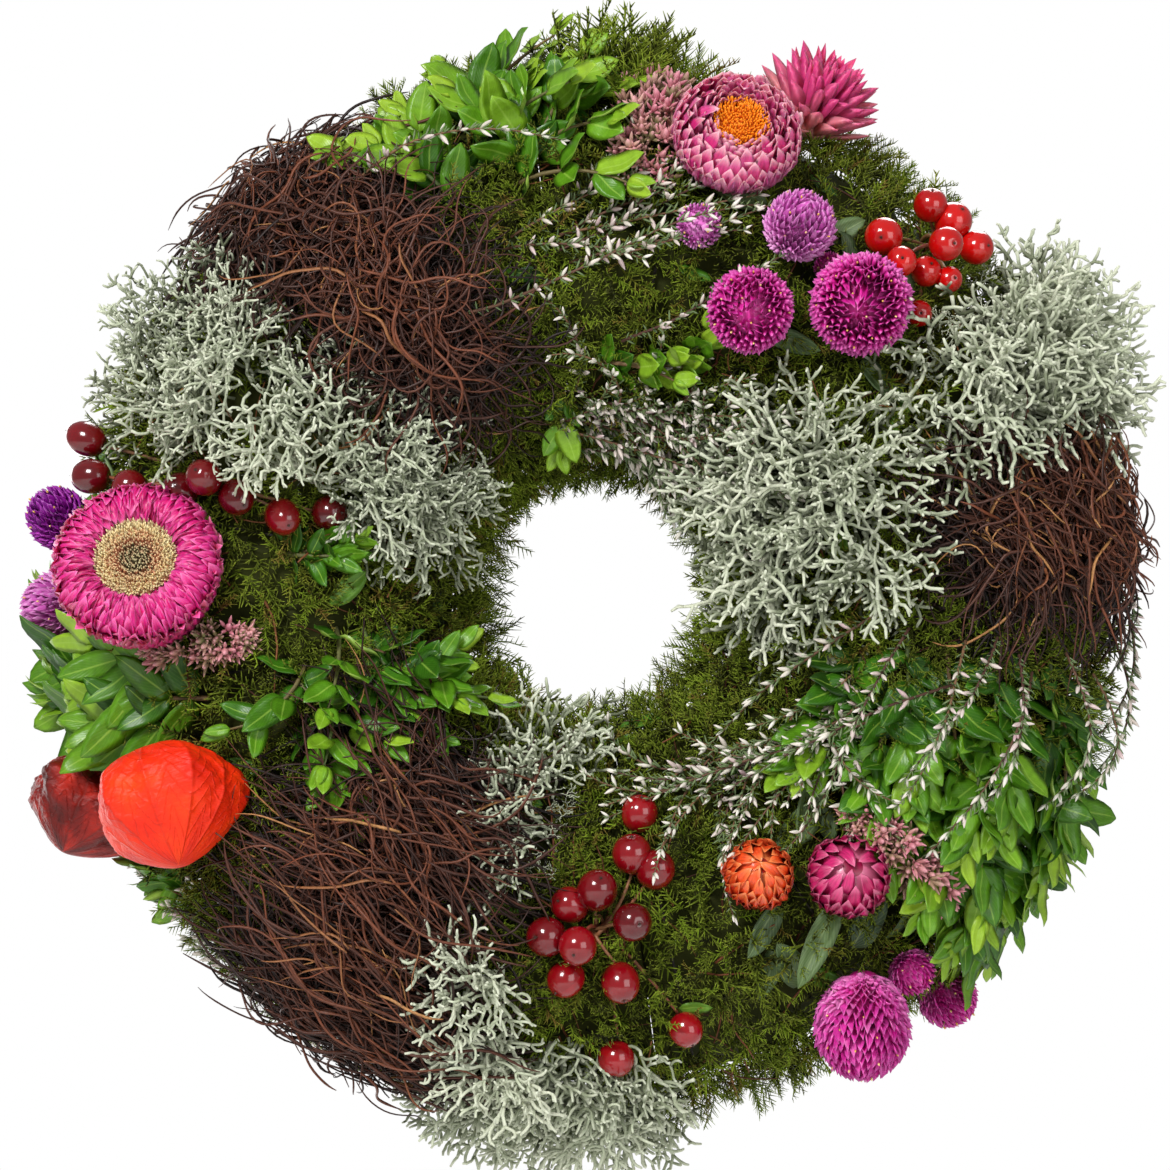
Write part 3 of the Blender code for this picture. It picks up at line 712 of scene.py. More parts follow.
def moss_pads(rng, finish, patches):
    """A matted shell with fronds for every moss pad, and a looser layer of tips. Patches hold the
    footprints that roots and silver twigs cover."""
    fronds = [frond(rng) for _ in range(12)]
    for node in MOSS_NODES:
        clock, around, _ = locate(vertices_of(node))
        middle = math.degrees(math.atan2(np.sin(np.radians(clock)).mean(),
                                         np.cos(np.radians(clock)).mean()))
        clock = (clock - middle + 180.0) % 360.0 - 180.0 + middle
        low, high = clock.min(), clock.max()
        mesh = Mesh()
        shell_of_moss(mesh, rng, low - 0.2, high + 0.2, np.array([4]))
        count = 2600
        clock = rng.uniform(low - 0.5, high + 0.5, count)
        around = rng.uniform(-86, 86, count)
        keep = rng.random(count) < (RING + MOSS_HALF * np.sin(np.radians(around))) / (RING + MOSS_HALF)
        for patch in patches:
            inside = patch.holds(clock, around, 0.8)
            keep &= ~inside | (rng.random(count) < 0.15)
        clock, around = clock[keep][:1040], around[keep][:1040]
        moss_layer(mesh, rng, finish, fronds, clock, around, (-1.5, 2.5), (8, 52), (8.5, 14.5), 0.5)
        count = 110
        clock, side = rng.uniform(low, high, count), rng.choice([-1.0, 1.0], count)
        outward, clockwise, _ = axes_at(clock, 90.0 * side)
        radius = RING + side * rng.uniform(STRAW_HALF + 2 * MM, MOSS_HALF, count)
        turn = np.radians(clock)
        places = np.stack([radius * np.sin(turn), 0 * turn - 1 * MM, CENTRE_Z + radius * np.cos(turn)], -1)
        way = outward + clockwise * rng.normal(0, 1.2, (count, 1))
        frames = aim(way, np.broadcast_to([0, 1.0, 0], way.shape))
        spread_shapes(mesh, rng, fronds, places, frames, rng.uniform(7, 12, count) * MM,
                      finish.pick(rng, rng.uniform(0.1, 0.6, count)))
        mesh.make(node.replace("moss_pad", "feathery_moss"), [finish.material], [node])
        tips = Mesh()
        count = 1500
        clock, around = rng.uniform(low, high, count), rng.uniform(-84, 84, count)
        keep = np.full(count, True)
        for patch in patches:
            keep &= ~patch.holds(clock, around, 1.0)
        clock, around = clock[keep][:420], around[keep][:420]
        moss_layer(tips, rng, finish, fronds, clock, around, (0.5, 4.0), (25, 75), (6.0, 11.0), 0.72)
        tips.make(node.replace("moss_pad", "moss_tips"), [finish.material])


def straw_ring(rng):
    """The straw core: a smooth half-round body under loose straws that run round the ring."""
    finish = strand_finish("dry_straw", tones((0, 120, 92, 48), (0.5, 178, 144, 84), (1, 214, 186, 124)),
                           None, 0.55)
    mesh = Mesh()
    rows, across = 180, 25
    clock = np.linspace(0, 360, rows)[:-1]
    tilt = np.linspace(-90, 90, across)
    half, deep = STRAW_HALF - 1.6 * MM, STRAW_DEPTH - 1.6 * MM
    radius = RING + half * np.sin(np.radians(tilt))
    y = -deep * np.cos(np.radians(tilt)) - 1.6 * MM
    back = RING + half * np.linspace(1, -1, 12)[1:-1]
    radius, y = np.concatenate([radius, back]), np.concatenate([y, np.full(10, -1.6 * MM)])
    turn = np.radians(clock)[:, None]
    points = np.stack(np.broadcast_arrays(radius * np.sin(turn), y, CENTRE_Z + radius * np.cos(turn)), -1)
    size = len(radius)
    body, uv = ring_faces(rows, size)
    body = (body % ((rows - 1) * size))[:, ::-1]
    mesh.add(points.reshape(1, -1, 3), [(body, uv[:, ::-1])], np.array([3]))
    count, n = 950, 9
    start = rng.uniform(0, 360, count)
    reach = rng.uniform(14, 34, count)
    section = rng.uniform(-180, 180, count)
    section[: count // 2] = rng.choice([-1, 1], count // 2) * rng.uniform(95, 180, count // 2)
    s = np.linspace(0, 1, n)
    clock = start[:, None] + reach[:, None] * s
    drift = rng.normal(0, 5, count)[:, None] * (s - 0.5) + section[:, None]
    flat = abs(section) > 90
    out = RING + (STRAW_HALF - 1.0 * MM) * np.sin(np.radians(drift))
    thick = rng.uniform(0.5, 1.0, count)[:, None] * MM
    y = np.where(flat[:, None], -thick - rng.uniform(0, 1.2, (count, 1)) * MM,
                 -(STRAW_DEPTH - 1.0 * MM) * np.cos(np.radians(drift)))
    turn = np.radians(clock)
    paths = np.stack([out * np.sin(turn), y + 0 * turn, CENTRE_Z + out * np.cos(turn)], -1)
    tubes(mesh, paths, thick * np.ones(n), 5, finish.pick(rng, rng.random(count)))
    mesh.make("straw_bundle", [finish.material], ["straw_ring_base"],
              pressed=False)


# ---------------------------------------------------------------- roots and silver twigs

def root_nest(rng, finish, node, count, heading, spread, length, curl=26.0, tan=0.015, sweep=3.0,
              reach=0.98):
    """Tangled rootlets on a pad. Tan is the share of pale ones, curl and sweep bend them in degrees."""
    patch = Patch(node)
    mesh = Mesh()
    n = 16
    clock, around, share = patch.sample(rng, count, reach)
    way = heading + rng.uniform(-spread, spread, count) + 180.0 * rng.integers(0, 2, count)
    lengths = rng.uniform(0.5, 1.2, count) * length * MM
    s = np.linspace(0, 1, n)
    room = (patch.high / MM) * (1.0 - 0.55 * share ** 3)
    level = rng.random(count) ** 0.7 * room
    wave = np.sin(s[None] * rng.uniform(2, 7, (count, 1)) + rng.uniform(0, 6, (count, 1)))
    lifts = np.maximum(level[:, None] + wave * rng.uniform(0.8, 3.4, (count, 1)) - 1.0 * s, 0.5)
    turns = rng.normal(0, curl * 0.5, (count, n - 1))
    for _ in range(2):
        turns = (turns + np.roll(turns, 1, 1) + np.roll(turns, -1, 1)) / 2.0
    paths = creep(clock, around, way, lengths, lifts * MM, turns + rng.normal(0, sweep, (count, 1)), 84.0)
    thick = rng.uniform(0.2, 0.5, (count, 1)) * MM * np.interp(s, [0, 0.15, 0.8, 1], [0.6, 1, 0.9, 0.3])
    # Painted shade and painted light: the lower a strand lies in the tangle, the darker its palette column,
    # and the highest strands get the palest ones
    depth = np.clip(level / max(room.max(), 1), 0, 1)
    value = 0.02 + 0.75 * depth ** 1.5 + rng.normal(0, 0.13, count)
    value = np.where(rng.random(count) < tan, 0.97, np.clip(value, 0, 0.88))
    tubes(mesh, paths, thick, 3, finish.pick(rng, value))
    mesh.make(node + "_strands", [finish.material], [node])


def forked_sprig(rng, depth=3, slim=0.03):
    """A silver cushion bush sprig, about 1 long along Y, of blunt twigs that fork again and again."""
    part = Mesh()
    stack = [(np.zeros(3), np.array([0.0, 1.0, 0.0]), 0, np.array([1.0, 0.0, 0.0]))]
    while stack:
        root, way, level, plane = stack.pop()
        reach = rng.uniform(0.24, 0.4) * (1.0 - 0.08 * level)
        sway = np.cross(way, plane) * rng.normal(0, 0.05) + plane * rng.normal(0, 0.04)
        tip = root + way * reach
        s = np.array([0.0, 0.25, 0.5, 0.75, 0.97])[:, None]
        path = root + (tip - root) * s + sway * (4 * s * (1 - s)) + rng.normal(0, 0.006, (5, 3))
        radius = slim * (1 - 0.06 * level)
        ends = np.array([1.0, 0.84, 0.95, 0.86, 0.66 if level == depth else 1.05])
        tubes(part, path[None], radius * ends[None], 5, None)
        if rng.random() < 0.5:
            nub = path[rng.integers(1, 4)]
            out = unit(way * 0.7 + unit(rng.normal(0, 1, 3)))
            tubes(part, np.stack([nub, nub + out * 0.05, nub + out * 0.09])[None],
                  radius * np.array([[0.8, 0.75, 0.5]]), 5, None)
        if level < depth:
            plane = unit(plane + rng.normal(0, 0.5, 3))
            side = unit(np.cross(np.cross(way, plane), way))
            for hand in (-1, 1):
                if level > 0 and rng.random() < 0.2:
                    continue
                turn = math.radians(rng.uniform(14, 46)) * hand
                stack.append((tip, unit(way * math.cos(turn) + side * math.sin(turn)), level + 1,
                              unit(plane + rng.normal(0, 0.3, 3))))
    return shape_of(part)


def silver_bush(rng, finish, sprigs, node, count, size=(13, 20), flat=0.85, heading=None, more=(),
                avoid=(), reach=0.98):
    """A tangle of forked sprigs on a pad. More holds (clock, around, spread, count) of places past it, and
    avoid holds (x, z, radius) in mm, seen from the front, that sprigs stay out of."""
    patch = Patch(node)
    mesh = Mesh()
    clock, around, share = patch.sample(rng, count, reach)
    lift = rng.random(count) * patch.high * (1.0 - 0.6 * share ** 2) * 0.8
    for clock_more, around_more, spread, number, low in more:
        clock = np.append(clock, clock_more + rng.uniform(-spread, spread, number))
        around = np.append(around, around_more + rng.uniform(-spread, spread, number) * 1.6)
        lift = np.append(lift, rng.uniform(low, low + 6, number) * MM)
        share = np.append(share, np.full(number, 0.5))
    count = len(clock)
    places = on_moss(clock, around, lift)
    outward, _, _ = axes_at(clock, around)
    if heading is None:
        turn = rng.uniform(0, math.tau, count)
    else:
        turn = np.radians(heading + rng.uniform(-70, 70, count))
    front = np.stack([np.cos(turn), 0 * turn, np.sin(turn)], -1)
    way = front - (front * outward).sum(-1, keepdims=True) * outward
    centre_out = unit(places - on_moss(patch.clock, patch.around, 0.0))
    way = unit(way + 0.5 * centre_out * share[:, None]) * flat
    way = way + outward * rng.uniform(0.05, 0.9, count)[:, None]
    frames = spin_frames(aim(way, outward), rng.uniform(-0.7, 0.7, count))
    length = rng.uniform(*size, count) * MM
    for x, z, radius in avoid:
        tip = places + unit(way) * (0.75 * length)[:, None]
        near = np.hypot(tip[:, 0] - x * MM, tip[:, 2] - CENTRE_Z - z * MM) < radius * MM
        length = np.where(near, length * 0.25, length)
    # Painted shade and painted light: twigs lower in the tangle get darker palette columns, and the highest
    # get the palest ones
    depth = lift / max(lift.max(), 1e-6)
    columns = finish.pick(rng, np.clip(0.1 + 0.85 * depth + rng.normal(0, 0.14, count), 0, 0.999))
    which = rng.integers(0, len(sprigs), count)
    scatter_by(mesh, sprigs, which, places, frames, length, columns)
    mesh.make(node + "_twigs", [finish.material], [node])


# ---------------------------------------------------------------- leaves and heather

def leaf_shapes(rng, half_width=0.25, count=4, pointed=0.9, thick=0.02):
    """Oval leaves that differ a little."""
    shapes = []
    for _ in range(count):
        arch, fold, lean = rng.uniform(-0.16, 0.05), rng.uniform(0.05, 0.3), rng.uniform(0.75, 1.0)

        def half_at(s):
            return np.maximum(half_width * np.sin(math.pi * s ** (pointed * lean)) ** 0.62, 0.012)

        def bend_at(s):
            return arch * np.sin(math.pi * s * 0.6) + 0.03 * np.sin(9 * s)
        shapes.append(blade(9, half_at, bend_at, fold, thick))
    return shapes


def boxwood(rng, finish, stem, shapes, node, count, heading, spread, length, pairs=6, size=13.0,
            lift=(2, 12), tone=(0.2, 0.8), bend=30.0, opening=(62, 22), extra=()):
    """Boxwood sprigs growing from a pad. Extra stems are (clock, around, heading, length in mm)."""
    patch = Patch(node)
    mesh = Mesh()
    paths = sprig_paths(rng, patch, count, heading, spread, length, lift, bend, reach=0.85)
    if extra:
        clock, around, way, reach = np.array(extra, float).T
        s = np.linspace(0, 1, 9)
        rise = (3.0 + 7.0 * s)[None] + np.zeros((len(clock), 1))
        paths = np.concatenate([paths, creep(clock, around, way, reach * MM, rise * MM,
                                             rng.normal(0, 2.0, (len(clock), 8)))])
    tubes(mesh, paths, np.linspace(0.75, 0.3, paths.shape[1])[None] * MM, 5,
          stem.pick(rng, rng.random(len(paths))), 1)
    leafy(mesh, rng, paths, shapes, finish, pairs, size * MM, opening, 0.1, 0, tone)
    mesh.make(node + "_leaves", [finish.material, stem.material], [node])


def heather_part(rng, mesh, paths, stem, leaf, bud, buds, leaves, needle, pods, bud_size=4.0, dense=26):
    """Stems with needles (leaf) and hanging buds (bud), each with its own material."""
    tubes(mesh, paths, np.linspace(0.42, 0.2, paths.shape[1])[None] * MM, 4,
          stem.pick(rng, rng.random(len(paths))), 0)
    leafy(mesh, rng, paths, needle, leaf, dense, leaves * MM, (48, 38), 0.02, 1, (0.2, 0.9), 70.0, 5.0)
    leafy(mesh, rng, paths, pods, bud, buds, bud_size * MM, (52, 28), 0.18, 2, (0.1, 0.9), 60.0, 15.0, 20.0,
          (0.9, 1.0, 0.75))


def heather(rng, kit, node, count, heading, spread, length, lift=(3, 10), bend=40.0, buds=12, extra=(),
            bud_size=4.0):
    """Heather sprigs growing from a pad. Extra stems are (clock, around, heading, length, lift in mm)."""
    patch = Patch(node)
    mesh = Mesh()
    paths = sprig_paths(rng, patch, count, heading, spread, length, lift, bend, 12, 0.95)
    stem, leaf, bud, needle, pods = kit
    heather_part(rng, mesh, paths, stem, leaf, bud, buds, 3.0, needle, pods, bud_size)
    if extra:
        clock, around, way, reach, high = np.array(extra, float).T
        s = np.linspace(0, 1, 16)
        rise = high[:, None] * (0.6 + 0.5 * np.sin(math.pi * s))
        paths = creep(clock, around, way, reach * MM, rise * MM, rng.normal(0, 2.5, (len(clock), 15)))
        heather_part(rng, mesh, paths, stem, leaf, bud, int(buds * 1.6), 3.0, needle, pods, bud_size, 38)
    mesh.make(node + "_sprigs", [stem.material, leaf.material, bud.material], [node])


def sedum_star(rng):
    """A small sedum flower: a swollen middle with five pointed lobes."""
    parts = [pod(5, 6, lambda s: 0.2 * np.sin(math.pi * (0.12 + 0.8 * s)))]
    lobe = pod(5, 5, lambda s: np.maximum(0.13 * np.sin(math.pi * (0.1 + 0.88 * s)), 0.01))
    turn = np.arange(5) * math.tau / 5 + rng.uniform(0, 1)
    way = np.stack([np.cos(turn) * 0.55, 0.8 + 0 * turn, np.sin(turn) * 0.55], -1)
    frames = aim(way, np.broadcast_to([0, 1.0, 0], way.shape))
    part = Mesh()
    for shape in parts:
        part.add(shape.points[None], shape.groups, None)
    base = np.stack([np.cos(turn) * 0.1, 0.15 + 0 * turn, np.sin(turn) * 0.1], -1)
    scatter(part, lobe, base, frames, np.full(5, 0.85), None)
    return shape_of(part)


def sedum(rng, finish, stem, stars, node, count, size):
    """Sedum flowers over a pad, each on a thin stalk from near its middle. Size in mm."""
    patch = Patch(node)
    mesh = Mesh()
    clock, around, share = patch.sample(rng, count, 1.15)
    lift = patch.high * (1.05 - 0.55 * share ** 2) * rng.uniform(0.55, 1.0, count)
    places = on_moss(clock, around, lift)
    outward, _, _ = axes_at(clock, around)
    way = unit(outward + 0.9 * unit(places - on_moss(patch.clock, patch.around, 0.0)) * share[:, None]
               + rng.normal(0, 0.22, (count, 3)))
    columns = finish.pick(rng, rng.random(count))
    scale = rng.uniform(0.8, 1.25, count) * size * MM
    which = rng.integers(0, len(stars), count)
    frames = spin_frames(aim(way, outward + 0.01), rng.uniform(0, 6, count))
    scatter_by(mesh, stars, which, places, frames, scale, columns)
    foot = on_moss(patch.clock + 0.35 * (clock - patch.clock),
                   patch.around + 0.35 * (around - patch.around), 1.0 * MM)
    s = np.linspace(0, 1, 5)[None, :, None]
    paths = foot[:, None] * (1 - s) + (places + way * 0.2 * MM)[:, None] * s
    tubes(mesh, paths, np.full(5, 0.35 * MM)[None], 4, stem.pick(rng, rng.random(count)), 1)
    mesh.make(node + "_buds", [finish.material, stem.material], [node])


# ---------------------------------------------------------------- flowers

def spiral(count, start=0.0):
    """Turns of the golden angle, and how far each is from the first (0) to the last (1)."""
    i = np.arange(count)
    return i * GOLDEN + start, (i + 0.5) / count


def petal_frames(stalk, ring, elevation):
    """Frames of petals that leave the axis at an elevation (radians) over the plane across it."""
    c, s = np.cos(elevation)[:, None], np.sin(elevation)[:, None]
    y = c * ring + s * stalk.axis
    z = -s * ring + c * stalk.axis
    return np.stack([np.cross(y, z), y, z], 1)


def petals(mesh, rng, stalk, shapes, finish, count, radius, height, elevation, length, width, tone,
           material=0, noise=5.0):
    """Spiral rows of petals. Radius, height, elevation, length and width run from inner to outer."""
    turn, t = spiral(count, rng.uniform(0, 6))
    steps = np.linspace(0, 1, len(elevation))
    places, ring = stalk.at(np.interp(t, [0, 1], radius), turn, np.interp(t, [0, 1], height))
    tilt = np.radians(np.interp(t, steps, elevation) + rng.normal(0, noise, count))
    frames = spin_frames(petal_frames(stalk, ring, tilt), rng.normal(0, 0.14, count))
    size = np.interp(t, np.linspace(0, 1, len(length)), length) * rng.uniform(0.9, 1.1, count)
    wide = np.interp(t, [0, 1], width) * rng.uniform(0.85, 1.15, count)
    sizes = np.stack([wide, size, size], -1)
    columns = finish.pick(rng, np.clip(np.interp(t, [0, 1], tone) + rng.normal(0, 0.09, count), 0, 0.999))
    spread_shapes(mesh, rng, shapes, places, frames, sizes, columns, material)


def disc(mesh, rng, stalk, finish, count, radius, height, hollow, tone, size=1.3, material=1, fluff=0.0):
    """The fuzzy middle of a strawflower: florets in a spiral on a shallow bowl."""
    floret = pod(5, 5, lambda s: np.maximum(0.3 * np.sin(math.pi * (0.1 + 0.85 * s)) ** 0.6, 0.03))
    lathe(mesh, stalk, [(0.1 * MM, height - hollow - 3 * MM), (radius, height - 3 * MM),
                        (radius, height - 1.6 * MM), (0.75 * radius, height - 1.0 * MM),
                        (0.45 * radius, height - 0.55 * hollow - 0.8 * MM),
                        (0.1 * MM, height - hollow - 0.6 * MM)], finish.first + finish.count // 2,
          material)
    turn, t = spiral(count)
    out = np.sqrt(t)
    rise = height - hollow * (1 - out) ** 1.3 - 0.35 * hollow * np.clip(out - 0.8, 0, 1) / 0.2
    places, ring = stalk.at(out * radius, turn, rise)
    tilt = np.radians(90 - 35 * (out - 0.4) + rng.normal(0, 14, count))
    frames = petal_frames(stalk, ring, tilt)
    length = size * rng.uniform(0.8, 1.5, count) * MM
    columns = finish.pick(rng, np.clip(np.interp(out, [0, 1], tone) + rng.normal(0, 0.1, count), 0, 0.999))
    sizes = np.stack([np.full(count, size * MM), length * 1.6, np.full(count, size * MM)], -1)
    scatter(mesh, floret, places - 0.8 * length[:, None] * stalk.axis, frames, sizes, columns, material)
    if fluff:
        hairs = int(count * 1.5)
        turn, share = rng.uniform(0, 6.28, hairs), np.sqrt(rng.uniform(0.3, 1.0, hairs))
        root, ring = stalk.at(share * radius, turn, np.full(hairs, height - 0.2 * hollow))
        way = unit(stalk.axis + ring * rng.normal(0.3, 0.5, (hairs, 1)) + rng.normal(0, 0.3, (hairs, 3)))
        tip = root + way * (fluff * rng.uniform(0.5, 1, (hairs, 1)) * MM)
        tubes(mesh, np.stack([root, tip], 1), np.array([[0.12, 0.04]]) * MM, 3,
              finish.pick(rng, rng.uniform(0.75, 1, hairs)), material)


def lathe(mesh, stalk, profile, column, material, sides=30):
    """A turned solid round a head's axis, from (radius, height) points, bottom to top."""
    profile = np.array(profile)
    turn = np.arange(sides) * math.tau / sides
    rows = len(profile)
    across, rise = profile[:, :1], profile[:, 1:]
    points, _ = stalk.at(across + 0 * turn, turn[None] + 0 * across, rise + 0 * turn)
    body, uv = ring_faces(rows, sides)
    mesh.add(points.reshape(1, -1, 3), [(body, uv), end_caps(rows, sides, 0.5, 0.5)],
             np.array([column]), material)


def receptacle(mesh, stalk, radius, bottom, top, column, material, rows=14):
    """The solid egg that scales stand on."""
    s = np.linspace(0, 1, rows)
    across = radius * np.maximum(np.sin(math.pi * (0.06 + 0.9 * s)) ** 0.6, 0.1)
    lathe(mesh, stalk, np.stack([across, bottom + (top - bottom) * s], -1), column, material)


def foot_stem(mesh, rng, stalk, stem, material, radius=1.1):
    """The stem that pins a head into the moss."""
    s = np.linspace(0, 1, 8)[:, None]
    head = stalk.foot + (stalk.bottom + 2 * MM) * stalk.axis
    path = stalk.root * (1 - s) ** 2 + stalk.knee * 2 * s * (1 - s) + head * s ** 2
    tubes(mesh, path[None], np.full((1, 8), radius * MM), 8, stem.pick(rng, np.array([0.5])), material)


def cushion(mesh, rng, stalk, shapes, finish, count, ring_radius, tube, height, length, width, tone, lean):
    """Petals over a rounded rim, from its foot outside, over the top and down to the disc inside."""
    turn, t = spiral(count, 1.0)
    around_rim = np.radians(np.interp(t, [0, 1], (128, -40)))
    places, ring = stalk.at(ring_radius + tube * np.cos(around_rim), turn,
                            height + tube * np.sin(around_rim))
    c, r = np.cos(around_rim)[:, None], np.sin(around_rim)[:, None]
    normal = ring * c + stalk.axis * r
    tilt = np.radians(np.interp(t, np.linspace(0, 1, len(lean)), lean) + rng.normal(0, 6, count))[:, None]
    y = (stalk.axis * c - ring * r) * np.cos(tilt) + normal * np.sin(tilt)
    frames = spin_frames(aim(y, normal), rng.normal(0, 0.4, count))
    size = np.interp(t, np.linspace(0, 1, len(length)), length) * rng.uniform(0.88, 1.12, count)
    wide = np.interp(t, [0, 1], width) * rng.uniform(0.85, 1.15, count)
    columns = finish.pick(rng, np.clip(np.interp(t, np.linspace(0, 1, len(tone)), tone)
                                       + rng.normal(0, 0.12, count), 0, 0.999))
    spread_shapes(mesh, rng, shapes, places - y * (0.45 * size)[:, None], frames,
                  np.stack([wide, size, size], -1), columns)


def closed_head(mesh, rng, stalk, shapes, finish, count, length, width, tone, lean=8.0, low=130.0,
                high=10.0, squeeze=0.92, material=0, outward=0.0, tip_noise=4.0, power=0.5):
    """Scales or bracts in a spiral over an egg, each pointing up the axis and leaning out by lean."""
    turn, t = spiral(count, rng.uniform(0, 6))
    down = np.radians(high + (low - high) * t ** power)
    half = (stalk.top - stalk.bottom) / 2
    across = stalk.radius * squeeze * np.sin(down)
    rise = stalk.bottom + half + half * squeeze * np.cos(down)
    places, ring = stalk.at(across, turn, rise)
    normal = unit(ring * (np.sin(down) / stalk.radius)[:, None]
                  + stalk.axis * (np.cos(down) / half)[:, None])
    upward = unit(stalk.axis * np.sin(down)[:, None] * stalk.radius - ring * np.cos(down)[:, None] * half)
    tilt = np.radians(lean + outward * t + rng.normal(0, tip_noise, count))[:, None]
    y = upward * np.cos(tilt) + normal * np.sin(tilt)
    frames = spin_frames(aim(y, normal), rng.normal(0, 0.1, count))
    size = np.interp(t, np.linspace(0, 1, len(length)), length) * rng.uniform(0.88, 1.12, count)
    sizes = np.stack([np.interp(t, [0, 1], width) * rng.uniform(0.9, 1.1, count), size, size], -1)
    value = np.clip(np.interp(t, np.linspace(0, 1, len(tone)), tone) + rng.normal(0, 0.1, count), 0, 0.999)
    which = rng.integers(0, len(shapes), count)
    columns = finish.pick(rng, value)
    spots = places - y * (0.5 * size)[:, None] - normal * (0.04 * size)[:, None]
    scatter_by(mesh, shapes, which, spots, frames, sizes, columns, material)


def broad_petals(rng, half=0.5, count=4, tip=0.55, arch=0.3, cup=0.35, rows=9, hug=0.0):
    """Broad petals with rounded points. Arch lifts the tip, cup lifts the edges, and hug bends both ends
    down to whatever the petal lies on."""
    shapes = []
    for _ in range(count):
        a, c, w = arch * rng.uniform(0.8, 1.2), cup * rng.uniform(0.6, 1.4), rng.uniform(0.9, 1.1)
        wave = rng.normal(0, 0.02)

        def half_at(s):
            past = np.clip((s - tip) / (1.0 - tip), 0, 1)
            rounded = np.sqrt(np.clip(1 - past ** 1.7, 0, 1))
            return half * w * np.maximum(np.clip(0.5 + 1.1 * s, 0, 1) * rounded, 0.03)

        def bend_at(s):
            return a * s ** 2 + wave * np.sin(12 * s) - hug * (s - 0.5) ** 2
        shapes.append(blade(rows, half_at, bend_at, c, 0.03))
    return shapes


def slender_petals(rng, half=0.5, count=4, arch=0.15, cup=0.35, rows=7, top_sides=5):
    """Narrow pointed petals."""
    shapes = []
    for _ in range(count):
        a, c = arch * rng.uniform(0.5, 1.5), cup * rng.uniform(0.6, 1.4)

        def half_at(s):
            return half * np.maximum(np.sin(math.pi * (0.12 + 0.88 * s) ** 1.1) ** 0.8, 0.03)
        shapes.append(blade(rows, half_at, lambda s: a * s ** 2, c, 0.03, top_sides))
    return shapes


def lance_leaves(mesh, rng, shapes, finish, items, material):
    """Single leaves: (clock, around, lift, heading in the front view, length, width) in mm and degrees."""
    clock, around, lift, heading, length, width = np.array(items, float).T
    places = on_moss(clock, around, lift * MM)
    outward, _, _ = axes_at(clock, around)
    turn = np.radians(heading)
    front = np.stack([np.cos(turn), 0 * turn, np.sin(turn)], -1)
    way = unit(front - (front * outward).sum(-1, keepdims=True) * outward * 0.7 + outward * 0.12)
    frames = spin_frames(aim(way, outward), rng.normal(0, 0.3, len(items)))
    sizes = np.stack([width * MM * 2, length * MM, length * MM], -1)
    columns = finish.pick(rng, rng.random(len(items)) * 0.8)
    scatter_by(mesh, shapes, np.arange(len(items)) % len(shapes), places, frames, sizes, columns, material)


def lantern(rng, node, finish, stem, toward, grow=1.0, crumple=1.0):
    """A papery lantern with five ridges, crinkled between them and drawn to a point."""
    stalk = Stalk(node, 0.9, grow, toward)
    mesh = Mesh()
    rows, sides = 96, 150
    s = np.linspace(0, 1, rows)[:, None]
    turn = (np.arange(sides) * math.tau / sides)[None]
    outline = np.sin(math.pi * s ** 0.8) ** 0.62 * (1 - 0.25 * np.clip(s - 0.5, 0, 1) ** 1.2)
    outline = np.maximum(outline, 0.02)
    rib = abs(np.cos(turn * 2.5 + 0.4)) ** 3
    minor = abs(np.cos(turn * 5 + 0.8)) ** 10
    hollow = np.sin(math.pi * s) * (rib * 0.13 - 0.07 + minor * 0.025)
    crinkle = 0 * s * turn
    for scale, depth in ((3, 0.045), (7, 0.028), (15, 0.014), (31, 0.008)):
        for _ in range(4):
            a = rng.integers(-scale, scale + 1)
            b = rng.uniform(-1, 1) * scale * 2.2
            c = rng.uniform(0, 6.28)
            crinkle = crinkle + depth * 0.42 * crumple * (abs(np.sin(turn * a + s * b + c)) - 0.6)
    radius = stalk.radius * 0.97 * outline * (1 + hollow + crinkle * np.sin(math.pi * s) ** 0.5)
    bend = 0.06 * np.sin(math.pi * s) * stalk.radius
    height = stalk.bottom + (stalk.top - stalk.bottom) * s + 0 * turn
    points, _ = stalk.at(radius, turn + 0 * s, height)
    points = points + bend[..., None] * stalk.side
    body, uv = ring_faces(rows, sides)
    caps, cap_uv = end_caps(rows, sides, 0.01, 0.99)
    band = (finish.count - 0.04) / COLUMNS
    uv = np.stack([0.02 / COLUMNS + uv[..., 0] * band, uv[..., 1]], -1)
    cap_uv[..., 0] = 0.5 * band
    mesh.add(points.reshape(1, -1, 3), [(body, uv), (caps, cap_uv)], None)
    foot_stem(mesh, rng, stalk, stem, 1)
    mesh.make(node.replace("physalis_lantern", "lantern_husk"), [finish.material, stem.material],
              [node])


